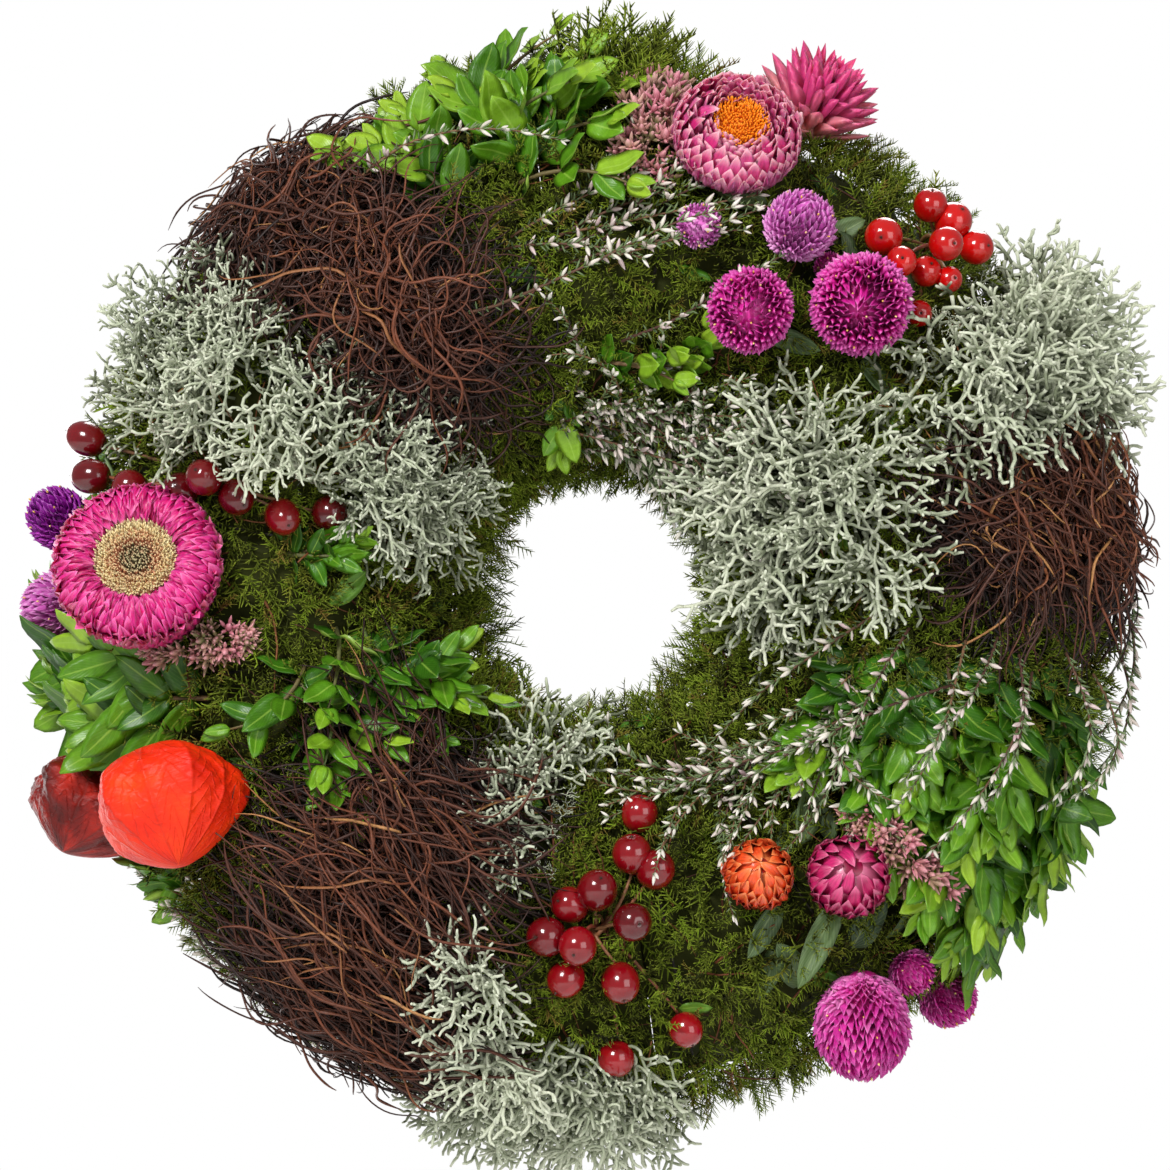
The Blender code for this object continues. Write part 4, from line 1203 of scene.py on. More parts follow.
def lantern_finish(name, skin, dark, vein, first=0, count=20):
    """Papery husk: mottled skin with ribs and a net of veins round it."""
    f = Finish(name, first, count, 0.5, Subsurface_Weight=0.15, Subsurface_Scale=0.004,
               Specular_IOR_Level=0.3)
    around_uv = f.math("MULTIPLY", f.tree.nodes["Separate XYZ"].outputs[0], COLUMNS / count)
    grain = f.noise(0.35, (1.0, 9.0), 6.0)
    color = f.ramp(grain, [(0.3, dark), (0.5, skin[0]), (0.72, skin[1])])
    ribs = f.math("ABSOLUTE",
                  f.math("COSINE", f.math("ADD", f.math("MULTIPLY", around_uv, 10 * math.pi), 0.8)))
    rib_line = f.math("POWER", ribs, 60.0)
    slant = f.math("ADD", f.math("MULTIPLY", f.along, 26.0),
                   f.math("MULTIPLY", f.math("SUBTRACT", 1.0, ribs), 5.0))
    slant = f.math("ADD", slant, f.math("MULTIPLY", grain, 6.0))
    net = f.math("POWER", f.math("ABSOLUTE", f.math("SINE", slant)), 24.0)
    fine = f.noise(2.4, (0.7, 22.0), 3.0)
    net = f.math("MULTIPLY", net, f.math("GREATER_THAN", fine, 0.4))
    color = f.mix(f.math("MULTIPLY", rib_line, 0.3), color, vein)
    color = f.mix(f.math("MULTIPLY", net, 0.14), color, vein)
    ridge = f.math("ADD", f.math("ADD", f.math("MULTIPLY", rib_line, 0.8), f.math("MULTIPLY", net, 0.5)),
                   f.math("MULTIPLY", fine, 0.8))
    return f.color(color).bump(ridge, 0.6, 0.0006)


BERRIES = {
    "berries_upper_right": (44, 58, [(-12, 3, 5, 12), (7, 8, 5, 15), (13, 1, 4.5, 15), (1, 12, 4.5, 15),
                                     (4, 1, 4.5, 19), (-1, -6, 4, 12), (5, -8, 3.5, 13), (-3, -17, 3.5, 9),
                                     (-8, -4, 4, 17)]),
    "berries_left": (286.5, 22, [(-36, 12, 4.6, 14), (-34, 2, 4.6, 13), (-23, -1, 4.6, 9), (-9, -2, 4.6, 9),
                                 (-2, 1, 4.6, 14), (6, -4, 4.6, 9), (18, -9, 4.6, 8), (30, -8, 4.6, 8)]),
    "berries_bottom": (179, 2, [(10, 30, 4.8, 8), (8, 20, 5.2, 10), (-1, 11, 5.2, 12), (14, 16, 5, 9),
                                (-14, -1, 5.2, 11), (-8, 7, 4.8, 8), (-6, -3, 5, 15), (8, 3, 5, 14),
                                (-9, -12, 4.8, 9), (5, -13, 5, 10), (4, -34, 4.8, 8), (22, -26, 4.4, 8)]),
}


def berry_cluster(rng, node, finish, stem, oval=1.0):
    """Berries at the CAD's places, each on a curved stalk from the cluster's hub."""
    clock, around, items = BERRIES[node]
    hub = on_moss(clock, around, 0.0)
    mesh = Mesh()
    rows, sides = 26, 36
    s = np.linspace(0, 1, rows)
    tip = np.exp(-((s - 1) / 0.05) ** 2)
    across = np.maximum(np.sin(math.pi * s) ** 0.94, 0.012)
    along = -np.cos(math.pi * s) * (1 - 0.05 * tip) + 0.1 * np.exp(-(s / 0.08) ** 2)
    turn = np.arange(sides) * math.tau / sides
    berry = np.stack(np.broadcast_arrays(across[:, None] * np.cos(turn), along[:, None],
                                         -across[:, None] * np.sin(turn)), -1).reshape(-1, 3)
    body, uv = ring_faces(rows, sides)
    shape = Shape(berry, [(body, uv), end_caps(rows, sides, 0.0, 1.0)])
    calyx = pod(4, 6, lambda s: np.maximum(0.5 * (1 - s), 0.05))
    centres, radii = [], []
    for right, up, radius, lift in items:
        x, z = hub[0] + right * MM, hub[2] - CENTRE_Z + up * MM
        share = (math.hypot(x, z) - RING) / (MOSS_HALF + lift * MM)
        around_here = math.degrees(math.asin(max(-1, min(1, share))))
        centres.append(on_moss(math.degrees(math.atan2(x, z)), around_here, lift * MM))
        radii.append(radius * MM)
    centres, radii = np.array(centres), np.array(radii)
    count = len(items)
    from_hub = unit(centres - hub)
    normal = normal_at(centres)
    way = unit(from_hub + normal * 0.5 + rng.normal(0, 0.35, (count, 3)))
    frames = spin_frames(aim(way, normal + 0.01), rng.uniform(0, 6, count))
    columns = finish.pick(rng, rng.random(count))
    stretch = radii * rng.uniform(1.0, oval, count)
    scatter(mesh, shape, centres, frames, np.stack([radii, stretch, radii], -1), columns, 0)
    blossom = centres + way * (stretch * 0.93)[:, None]
    scatter(mesh, calyx, blossom, frames, np.full(count, 0.9 * MM), stem.pick(rng, np.zeros(count)), 1)
    n = 12
    t = np.linspace(0, 1, n)[None, :, None]
    foot = hub + normal_at(hub[None])[0] * 1.5 * MM + rng.normal(0, 1.5, (count, 3)) * MM
    ends = centres - way * (stretch * 0.9)[:, None]
    knee = (foot + ends) / 2 + normal * (4 * MM) + rng.normal(0, 2.0, (count, 3)) * MM - way * 2 * MM
    paths = foot[:, None] * (1 - t) ** 2 + 2 * knee[:, None] * t * (1 - t) + ends[:, None] * t ** 2
    tubes(mesh, paths, np.linspace(0.6, 0.42, n)[None] * MM, 6,
          stem.pick(rng, rng.uniform(0.3, 1, count)), 1)
    mesh.make(node.replace("berries", "berry_spray"), [finish.material, stem.material], [node])


def berry_finish(name, deep, bright):
    """Glossy skin with a cloudy bloom and a dark scar at the far end."""
    f = Finish(name, 0, 18, 0.16, Coat_Weight=0.5, Coat_Roughness=0.08, Subsurface_Weight=0.12,
               Subsurface_Scale=0.002)
    skin = f.ramp(f.variation, [(0, deep), (1, bright)])
    cloud = f.noise(1.1, (1.0, 2.2), 4.0)
    skin = f.mix(0.5, skin, f.ramp(cloud, [(0.35, (0.45, 0.3, 0.3)), (0.65, (1, 1, 1))]), "MULTIPLY")
    scar = f.math("POWER", f.along, 40.0)
    skin = f.mix(scar, skin, srgb(40, 18, 12))
    return f.color(skin).bump(f.noise(3.0, (1.0, 3.0)), 0.08, 0.0002)


# ---------------------------------------------------------------- the wreath

def moss_fringe(rng, finish, name, branchlets, items):
    """Loose fronds that stick out past the ring. Items hold (clock, around, spread, count, size in mm,
    heading or None)."""
    fronds = [frond(rng, branchlets, 0.013, 0.34) for _ in range(6)]
    mesh = Mesh()
    for clock, around, spread, count, size, heading in items:
        clocks = clock + rng.uniform(-spread, spread, count)
        arounds = around + rng.normal(0, 5, count)
        places = on_moss(clocks, arounds, rng.uniform(-1, 2, count) * MM)
        outward, _, _ = axes_at(clocks, arounds)
        if heading is None:
            way = unit(places - np.array([0, -0.02, CENTRE_Z])) * np.sign(around)
            way[:, 1] *= 0.3
        else:
            turn = np.radians(heading)
            way = np.broadcast_to(np.array([math.cos(turn), 0.0, math.sin(turn)]), outward.shape)
        way = unit(way) + rng.normal(0, 0.35, (count, 3)) + outward * 0.25
        frames = spin_frames(aim(way, np.broadcast_to([0, -1.0, 0], way.shape)), rng.normal(0, 0.5, count))
        columns = finish.pick(rng, np.clip(rng.normal(0.62, 0.18, count), 0, 0.999))
        which = rng.integers(0, len(fronds), count)
        scale = size * rng.uniform(0.7, 1.2, count) * MM
        scatter_by(mesh, fronds, which, places, frames, scale, columns)
    mesh.make(name, [finish.material])


def grow_moss_and_straw():
    """The ring itself: straw, moss pads and the fronds that stick out."""
    straw_ring(np.random.default_rng(11))
    finish = moss_finish()
    patches = [Patch(node) for node in frame["nodes"] if node.startswith(("root_nest", "silver_bush"))]
    moss_pads(np.random.default_rng(12), finish, patches)
    rng = np.random.default_rng(13)
    moss_fringe(rng, finish, "moss_fringe_top", 38, [
        (352, 80, 16, 80, 15, None), (2, 70, 8, 46, 22, 85), (358, 62, 6, 26, 24, 70),
        (8, 74, 5, 24, 18, 60), (36, 80, 9, 50, 12, None),
    ])
    moss_fringe(rng, finish, "moss_fringe", 26, [
        (112, 82, 9, 40, 12, None), (160, 82, 26, 120, 12, None), (228, 80, 14, 50, 12, None),
        (275, -82, 30, 90, 13, None), (130, -80, 50, 90, 12, None), (60, -80, 20, 40, 11, None),
        (355, -80, 50, 90, 10, None), (315, 80, 30, 50, 11, None), (262, 84, 12, 30, 11, None),
    ])


def loose_stems():
    """Thin brown stems and rootlets lying about on the moss and standing past its edges."""
    finish = strand_finish("loose_stem", tones((0, 70, 34, 20), (0.5, 120, 66, 38), (1, 150, 96, 58)),
                           None, 0.55, mottling=0.5, Specular_IOR_Level=0.3)
    rng = np.random.default_rng(14)
    mesh = Mesh()
    count, n = 420, 9
    clock, around = rng.uniform(0, 360, count), rng.uniform(-84, 84, count)
    s = np.linspace(0, 1, n)
    lifts = (rng.uniform(0.5, 4, (count, 1)) + rng.uniform(0, 7, (count, 1)) * s ** 1.5) * MM
    paths = creep(clock, around, rng.uniform(0, 360, count), rng.uniform(9, 30, count) * MM, lifts,
                  rng.normal(0, 7, (count, n - 1)) + rng.normal(0, 3, (count, 1)), 80.0)
    thick = rng.uniform(0.14, 0.42, (count, 1)) * MM * np.interp(s, [0, 1], [1, 0.5])
    tubes(mesh, paths, thick, 4, finish.pick(rng, rng.random(count)))
    mesh.make("loose_stems", [finish.material])


def loose_leaves():
    """Single leaves caught between the plants, and one that points out past the right edge."""
    finish = leaf_finish("loose_leaf", tones((0, 30, 66, 14), (0.6, 70, 122, 26), (1, 132, 170, 50)),
                         srgb(134, 164, 66), srgb(150, 186, 74), 0.38, 0, 24, 0.08, Specular_IOR_Level=0.35)
    rng = np.random.default_rng(15)
    mesh = Mesh()
    count = 60
    items = np.stack([rng.uniform(0, 360, count), rng.uniform(-70, 76, count), rng.uniform(1, 5, count),
                      rng.uniform(0, 360, count), rng.uniform(7, 12, count),
                      rng.uniform(1.8, 2.8, count)], -1)
    hand_placed = [(86, 74, 5, 2, 13, 2.2), (87, 70, 6, 14, 12, 2.2), (300, 12, 3, 60, 12, 2.6),
                   (268, -18, 6, 40, 13, 3)]
    lance_leaves(mesh, rng, leaf_shapes(rng, 0.5, 5), finish, np.concatenate([items, hand_placed]), 0)
    mesh.make("loose_leaves", [finish.material])


def grow_roots():
    """The three nests of dark rootlets."""
    finish = strand_finish("root_fibre", tones((0, 20, 10, 8), (0.3, 48, 25, 18), (0.6, 86, 46, 31),
                                               (0.85, 128, 70, 44), (1, 184, 130, 78)), None, 0.5,
                           mottling=0.6, Specular_IOR_Level=0.4)
    rng = np.random.default_rng(21)
    root_nest(rng, finish, "root_nest_upper_left", 1900, 112, 50, 32, curl=24.0, sweep=2.4)
    root_nest(rng, finish, "root_nest_right", 1500, 128, 36, 27, curl=18.0, tan=0.05, sweep=1.6,
              reach=0.86)
    root_nest(rng, finish, "root_nest_lower_left", 2000, 140, 34, 34, curl=12.0, sweep=1.2)


def grow_silver():
    """The silver cushion bushes."""
    finish = strand_finish("silver_twig", tones((0, 84, 90, 66), (0.3, 142, 150, 122),
                                                (0.65, 188, 196, 168), (1, 216, 220, 196)),
                           srgb(216, 220, 198), 0.8, tip_from=0.5, mottling=0.4,
                           Specular_IOR_Level=0.25)
    rng = np.random.default_rng(31)
    stout = [forked_sprig(rng) for _ in range(10)]
    fine = [forked_sprig(rng, 4, 0.028) for _ in range(8)]
    red_berries = [(88, 92, 30)]
    silver_bush(rng, finish, fine, "silver_bush_left", 160, (15, 20), reach=0.92,
                avoid=[(-128, 36, 8), (-104, 28, 9), (-88, 27, 9), (-74, 20, 9)])
    silver_bush(rng, finish, fine, "silver_bush_right_outer", 135, (19, 26),
                avoid=red_berries + [(126, 16, 24), (112, -4, 24)], reach=0.9)
    silver_bush(rng, finish, fine, "silver_bush_right_inner", 96, (17, 25),
                avoid=[(102, 4, 24), (24, 8, 12)], reach=0.92)
    silver_bush(rng, finish, stout, "silver_bush_bottom_upper", 110, (14, 20), more=[(196, 18, 3, 26, 9)],
                avoid=[(2, -62, 20), (-8, -84, 22)])
    silver_bush(rng, finish, stout, "silver_bush_bottom_lower", 130, (15, 21), heading=-95,
                more=[(180, 44, 6, 40, 2), (193, 36, 3, 20, 8)], avoid=[(0, -100, 12)])


def grow_boxwood():
    """The boxwood sprigs."""
    finish = leaf_finish("boxwood_leaf", tones((0, 26, 62, 10), (0.35, 50, 102, 14),
                                               (0.65, 92, 146, 22), (1, 150, 186, 46)),
                         srgb(134, 164, 66), srgb(150, 186, 74), 0.34, 0, 20, 0.08,
                         Specular_IOR_Level=0.35)
    stem = strand_finish("green_stem", tones((0, 86, 104, 50), (1, 120, 92, 58)), None, 0.6, 20, 4)
    rng = np.random.default_rng(41)
    oval = leaf_shapes(rng, 0.3, 6)
    long = leaf_shapes(rng, 0.21, 6)
    plump = leaf_shapes(rng, 0.25, 6)
    boxwood(rng, finish, stem, oval, "boxwood_top", 17, 70, 100, 24, 4, 14.5, (3, 14), (0.35, 0.95))
    boxwood(rng, finish, stem, oval, "boxwood_inner_top", 2, 0, 50, 18, 3, 11.0, (3, 9), (0.5, 0.95),
            extra=[(352, -40, -100, 13), (6, -34, 30, 16), (14, -30, 35, 18), (22, -26, 60, 14)])
    boxwood(rng, finish, stem, long, "boxwood_left_outer", 8, 178, 16, 32, 6, 21.0, (3, 12), (0.3, 0.9),
            extra=[(255, 22, 176, 36), (259, 24, 168, 32)])
    boxwood(rng, finish, stem, plump, "boxwood_left_inner", 16, -48, 70, 22, 4, 13.5, (3, 15), (0.2, 0.75))
    boxwood(rng, finish, stem, long, "boxwood_left_tip", 5, 210, 60, 20, 5, 13.0, (2, 10), (0.35, 0.9))
    boxwood(rng, finish, stem, long, "boxwood_rosette", 3, 30, 60, 12, 4, 11.5, (3, 10), (0.2, 0.7))
    boxwood(rng, finish, stem, plump, "boxwood_right", 18, -97, 18, 32, 6, 16.5, (3, 14), (0.12, 0.85),
            extra=[(101, -16, -108, 34), (104, -6, -100, 42), (98, -4, -95, 40), (108, -14, -125, 30),
                   (106, 4, -92, 46), (99, 8, -88, 48), (110, 2, -105, 40), (112, 16, -90, 50),
                   (122, 30, -84, 44), (97, 44, -92, 44), (99, 64, -84, 46), (96, 24, -100, 40)])


def grow_heather():
    """The heather sprigs with their buds."""
    stem = strand_finish("heather_stem", tones((0, 84, 50, 38), (1, 128, 92, 62)), None, 0.7, 0, 4)
    leaf = leaf_finish("heather_leaf", tones((0, 52, 72, 40), (1, 112, 130, 76)), srgb(104, 124, 80),
                       srgb(130, 148, 96), 0.6, 4, 8)
    bud = petal_finish("heather_bud", tones((0, 196, 164, 168), (0.5, 212, 204, 190), (1, 230, 226, 214)),
                       srgb(104, 120, 66), srgb(228, 214, 212), 0.5, 12, 12, 0.2)
    rng = np.random.default_rng(51)
    needle = [pod(4, 4, lambda s: np.maximum(0.11 * np.sin(math.pi * (0.1 + 0.85 * s)), 0.02), 0.1)]
    pods = [pod(6, 6, lambda s: np.maximum(0.145 * np.sin(math.pi * (0.06 + 0.92 * s)) ** 0.9, 0.02),
                0.05 * k) for k in range(3)]
    kit = (stem, leaf, bud, needle, pods)
    heather(rng, kit, "heather_top", 9, 25, 20, 50, (4, 11), 20, 7, extra=[
        (327, 38, 22, 62, 22), (333, -5, 18, 85, 24)])
    heather(rng, kit, "heather_top_edge", 8, 150, 50, 24, (2, 9), 50, 10)
    heather(rng, kit, "heather_inner_top", 50, 10, 60, 32, (3, 11), 60, 6, extra=[
        (20, -50, 35, 50, 12), (346, -48, -8, 60, 12), (6, -20, 28, 60, 16)])
    heather(rng, kit, "heather_right", 26, -112, 34, 40, (4, 13), 60, 6, extra=[
        (104, 10, -160, 70, 17), (115, -8, -150, 70, 15), (100, 30, -120, 60, 20), (92, -10, -140, 60, 14),
        (88, 72, -80, 48, 14), (84, 78, -84, 40, 12), (94, 66, -100, 44, 16),
        (97, 10, -112, 46, 23), (98, 24, -104, 44, 24), (97, 38, -98, 42, 24), (96, -4, -118, 48, 22),
        (99, 50, -94, 36, 23), (96, 18, -124, 44, 23)])
    heather(rng, kit, "heather_lower_left", 16, -150, 60, 32, (2, 9), 60, 8, extra=[
        (230, 70, 196, 30, 10), (222, 76, 215, 26, 10), (212, 78, 235, 22, 10)])


def grow_sedum():
    """The sedum flower heads."""
    finish = petal_finish("sedum_bud", tones((0, 128, 124, 80), (0.35, 172, 128, 112),
                                             (0.7, 202, 122, 138), (1, 214, 172, 156)),
                          srgb(140, 148, 96), srgb(220, 152, 164), 0.6, 0, 20, 0.35)
    stem = strand_finish("sedum_stem", tones((0, 112, 116, 70), (1, 140, 96, 76)), None, 0.6, 20, 4)
    rng = np.random.default_rng(61)
    stars = [sedum_star(rng) for _ in range(4)]
    sedum(rng, finish, stem, stars, "sedum_top", 120, 4.4)
    sedum(rng, finish, stem, stars, "sedum_left", 90, 4.0)
    sedum(rng, finish, stem, stars, "sedum_lower_right", 130, 4.2)


def grow_strawflowers(stem):
    """The three open strawflowers."""
    rng = np.random.default_rng(71)
    # the magenta one on the left: many stubby rows that curl in over a sunken two-coloured middle
    node = "strawflower_left"
    stalk = Stalk(node, 0.9, 1.0, (0.0, -0.85, 0.4))
    ray = petal_finish("strawflower_magenta", tones((0, 186, 10, 92), (0.3, 222, 24, 126),
                                                    (0.7, 232, 58, 146), (1, 204, 98, 116)),
                       srgb(178, 12, 94), srgb(242, 112, 176), 0.42, 0, 12, 0.45,
                       Subsurface_Weight=0.15, Subsurface_Scale=0.002)
    core = petal_finish("magenta_middle", tones((0, 70, 58, 30), (0.3, 186, 112, 80),
                                                (0.6, 218, 160, 118), (0.85, 226, 200, 140),
                                                (1, 236, 220, 172)), srgb(170, 120, 70),
                        srgb(238, 222, 170), 0.7, 12, 10, 0.3)
    mesh = Mesh()
    shapes = broad_petals(rng, 0.5, 6, 0.42, 0.0, 0.32, 9, 0.85)
    rim, tube, level = 15.2 * MM, 5.0 * MM, stalk.top - 6.4 * MM
    lathe(mesh, stalk, [(2 * MM, stalk.bottom), (rim, stalk.bottom + 1 * MM),
                        (rim + 0.8 * tube, level - 1 * MM), (rim + 0.6 * tube, level + 0.6 * tube),
                        (rim, level + 0.85 * tube), (rim - 0.6 * tube, level + 0.6 * tube),
                        (rim - 0.8 * tube, level), (0.1 * MM, level - 1 * MM)], 0, 0)
    cushion(mesh, rng, stalk, shapes, ray, 330, rim, tube, level, (7.0 * MM, 8.5 * MM, 8.5 * MM, 7.5 * MM),
            (2.7 * MM, 4.4 * MM), (0.2, 0.25, 0.6, 1.0), (4, 6, 12, 22))
    petals(mesh, rng, stalk, shapes, ray, 130, (rim + 0.85 * tube, rim + 0.3 * tube),
           (level - 5 * MM, stalk.bottom), (84, 78), (8.0 * MM, 7.0 * MM), (4.6 * MM, 5.4 * MM),
           (0.75, 1.0), 0, 6)
    disc(mesh, rng, stalk, core, 620, 10.2 * MM, stalk.top - 2.2 * MM, 2.6 * MM, (-0.5, 1.2), 1.1, 1, 1.8)
    foot_stem(mesh, rng, stalk, stem, 2)
    mesh.make("magenta_strawflower", [ray.material, core.material, stem.material], [node])

    # the open pink one at the top: broad pointed scales round a vivid orange disc
    node = "strawflower_top"
    stalk = Stalk(node, 0.25)
    ray = petal_finish("strawflower_pink", tones((0, 206, 44, 122), (0.35, 232, 112, 168),
                                                 (0.7, 238, 164, 186), (1, 208, 138, 122)),
                       srgb(204, 60, 124), srgb(246, 196, 196), 0.42, 0, 12, 0.45,
                       Subsurface_Weight=0.15, Subsurface_Scale=0.002)
    core = petal_finish("orange_disc", tones((0, 226, 96, 0), (1, 252, 150, 6)), srgb(214, 80, 0),
                        srgb(255, 172, 20), 0.6, 12, 10, 0.3)
    mesh = Mesh()
    scales = broad_petals(rng, 0.5, 6, 0.36, 0.0, 0.14, 9, 0.42)
    inner = broad_petals(rng, 0.5, 4, 0.4, 0.1, 0.2)
    level = stalk.bottom + (stalk.top - stalk.bottom) * 0.5
    lathe(mesh, stalk, [(2 * MM, stalk.bottom), (0.6 * stalk.radius, stalk.bottom + 1 * MM),
                        (0.84 * stalk.radius, level - 2 * MM), (0.84 * stalk.radius, level + 1 * MM),
                        (8 * MM, stalk.top - 6 * MM), (0.1 * MM, stalk.top - 7 * MM)], 2, 0)
    closed_head(mesh, rng, stalk, scales, ray, 190, (10 * MM, 12.5 * MM, 13 * MM, 11 * MM),
                (4.0 * MM, 6.4 * MM), (0.1, 0.35, 0.7, 1.0), 7, 146, 36, 0.95, 0, 4, 4.0, 0.62)
    petals(mesh, rng, stalk, inner, ray, 120, (7.6 * MM, 12.6 * MM),
           (stalk.top - 7.5 * MM, stalk.top - 11.5 * MM),
           (98, 92, 84, 78), (6.5 * MM, 8.5 * MM, 10 * MM), (3.2 * MM, 4.8 * MM), (0.0, 0.45), 0, 5)
    disc(mesh, rng, stalk, core, 330, 7.0 * MM, stalk.top - 3.0 * MM, -0.6 * MM, (0.1, 1.0), 1.0, 1)
    foot_stem(mesh, rng, stalk, stem, 2)
    mesh.make("pink_strawflower", [ray.material, core.material, stem.material], [node])

    # the one behind it, seen from its side: long pointed petals
    node = "strawflower_side"
    stalk = Stalk(node)
    mesh = Mesh()
    ray = petal_finish("strawflower_rose", tones((0, 204, 34, 108), (0.5, 224, 70, 134),
                                                 (1, 226, 140, 140)), srgb(232, 170, 150),
                       srgb(226, 60, 130), 0.42, 0, 12, 0.5, Subsurface_Weight=0.15,
                       Subsurface_Scale=0.002)
    shapes = slender_petals(rng, 0.5, 5, 0.14, 0.3, 9)
    receptacle(mesh, stalk, stalk.radius * 0.42, stalk.bottom - 1 * MM, stalk.top - 7 * MM, 11, 0)
    petals(mesh, rng, stalk, shapes, ray, 92, (3.0 * MM, 6.0 * MM),
           (stalk.top - 9 * MM, stalk.bottom + 1 * MM), (84, 66, 50, 36, 14),
           (13 * MM, 17 * MM, 16 * MM, 11 * MM), (3.4 * MM, 4.4 * MM), (0.1, 0.9), 0, 7)
    disc(mesh, rng, stalk, core, 120, 4.2 * MM, stalk.top - 4.5 * MM, 1.0 * MM, (0.1, 1.0), 1.0, 1)
    foot_stem(mesh, rng, stalk, stem, 2)
    mesh.make("rose_strawflower", [ray.material, core.material, stem.material], [node])


def grow_buds(stem, leaf, lances):
    """The two closed strawflower buds with the leaves beside them."""
    rng = np.random.default_rng(72)
    orange = petal_finish("orange_scale", tones((0, 236, 84, 34), (0.5, 204, 44, 22), (1, 138, 20, 22)),
                          srgb(120, 14, 14), srgb(244, 150, 84), 0.28, 0, 12, 0.6)
    crimson = petal_finish("crimson_scale", tones((0, 206, 44, 112), (0.35, 166, 12, 74), (1, 112, 10, 44)),
                           srgb(84, 6, 34), srgb(222, 120, 156), 0.28, 0, 12, 0.6)
    shapes = broad_petals(rng, 0.5, 6, 0.24, 0.0, 0.16, 9, 0.6)
    for node, finish, slot, items in (("strawflower_bud_orange", orange, "bud_orange",
                                       [(153, 4, 3, 115, 18, 3.4), (149, 8, 3, 240, 17, 3.2),
                                        (146, -2, 4, 60, 18, 3.0), (152, 20, 3, 250, 16, 3)]),
                                      ("strawflower_bud_crimson", crimson, "bud_crimson",
                                       [(141, -2, 4, 75, 22, 3.6), (141, 18, 3, 245, 26, 3.6),
                                        (133, 16, 4, 30, 14, 3.4), (136, 4, 4, 110, 16, 3)])):
        stalk = Stalk(node, 0.7, 1.0, (0.1, -0.8, 0.6))
        mesh = Mesh()
        receptacle(mesh, stalk, stalk.radius * 0.84, stalk.bottom, stalk.top - 1.5 * MM, 8, 0)
        closed_head(mesh, rng, stalk, shapes, finish, 74, (9 * MM, 11.5 * MM, 9.5 * MM),
                    (4.2 * MM, 6.0 * MM), (0, 0.4, 1), 6, 138, 12, 0.93, 0, 3)
        lance_leaves(mesh, rng, lances, leaf, items, 1)
        foot_stem(mesh, rng, stalk, stem, 2)
        mesh.make(node + "_scales", [finish.material, leaf.material, stem.material], [node])


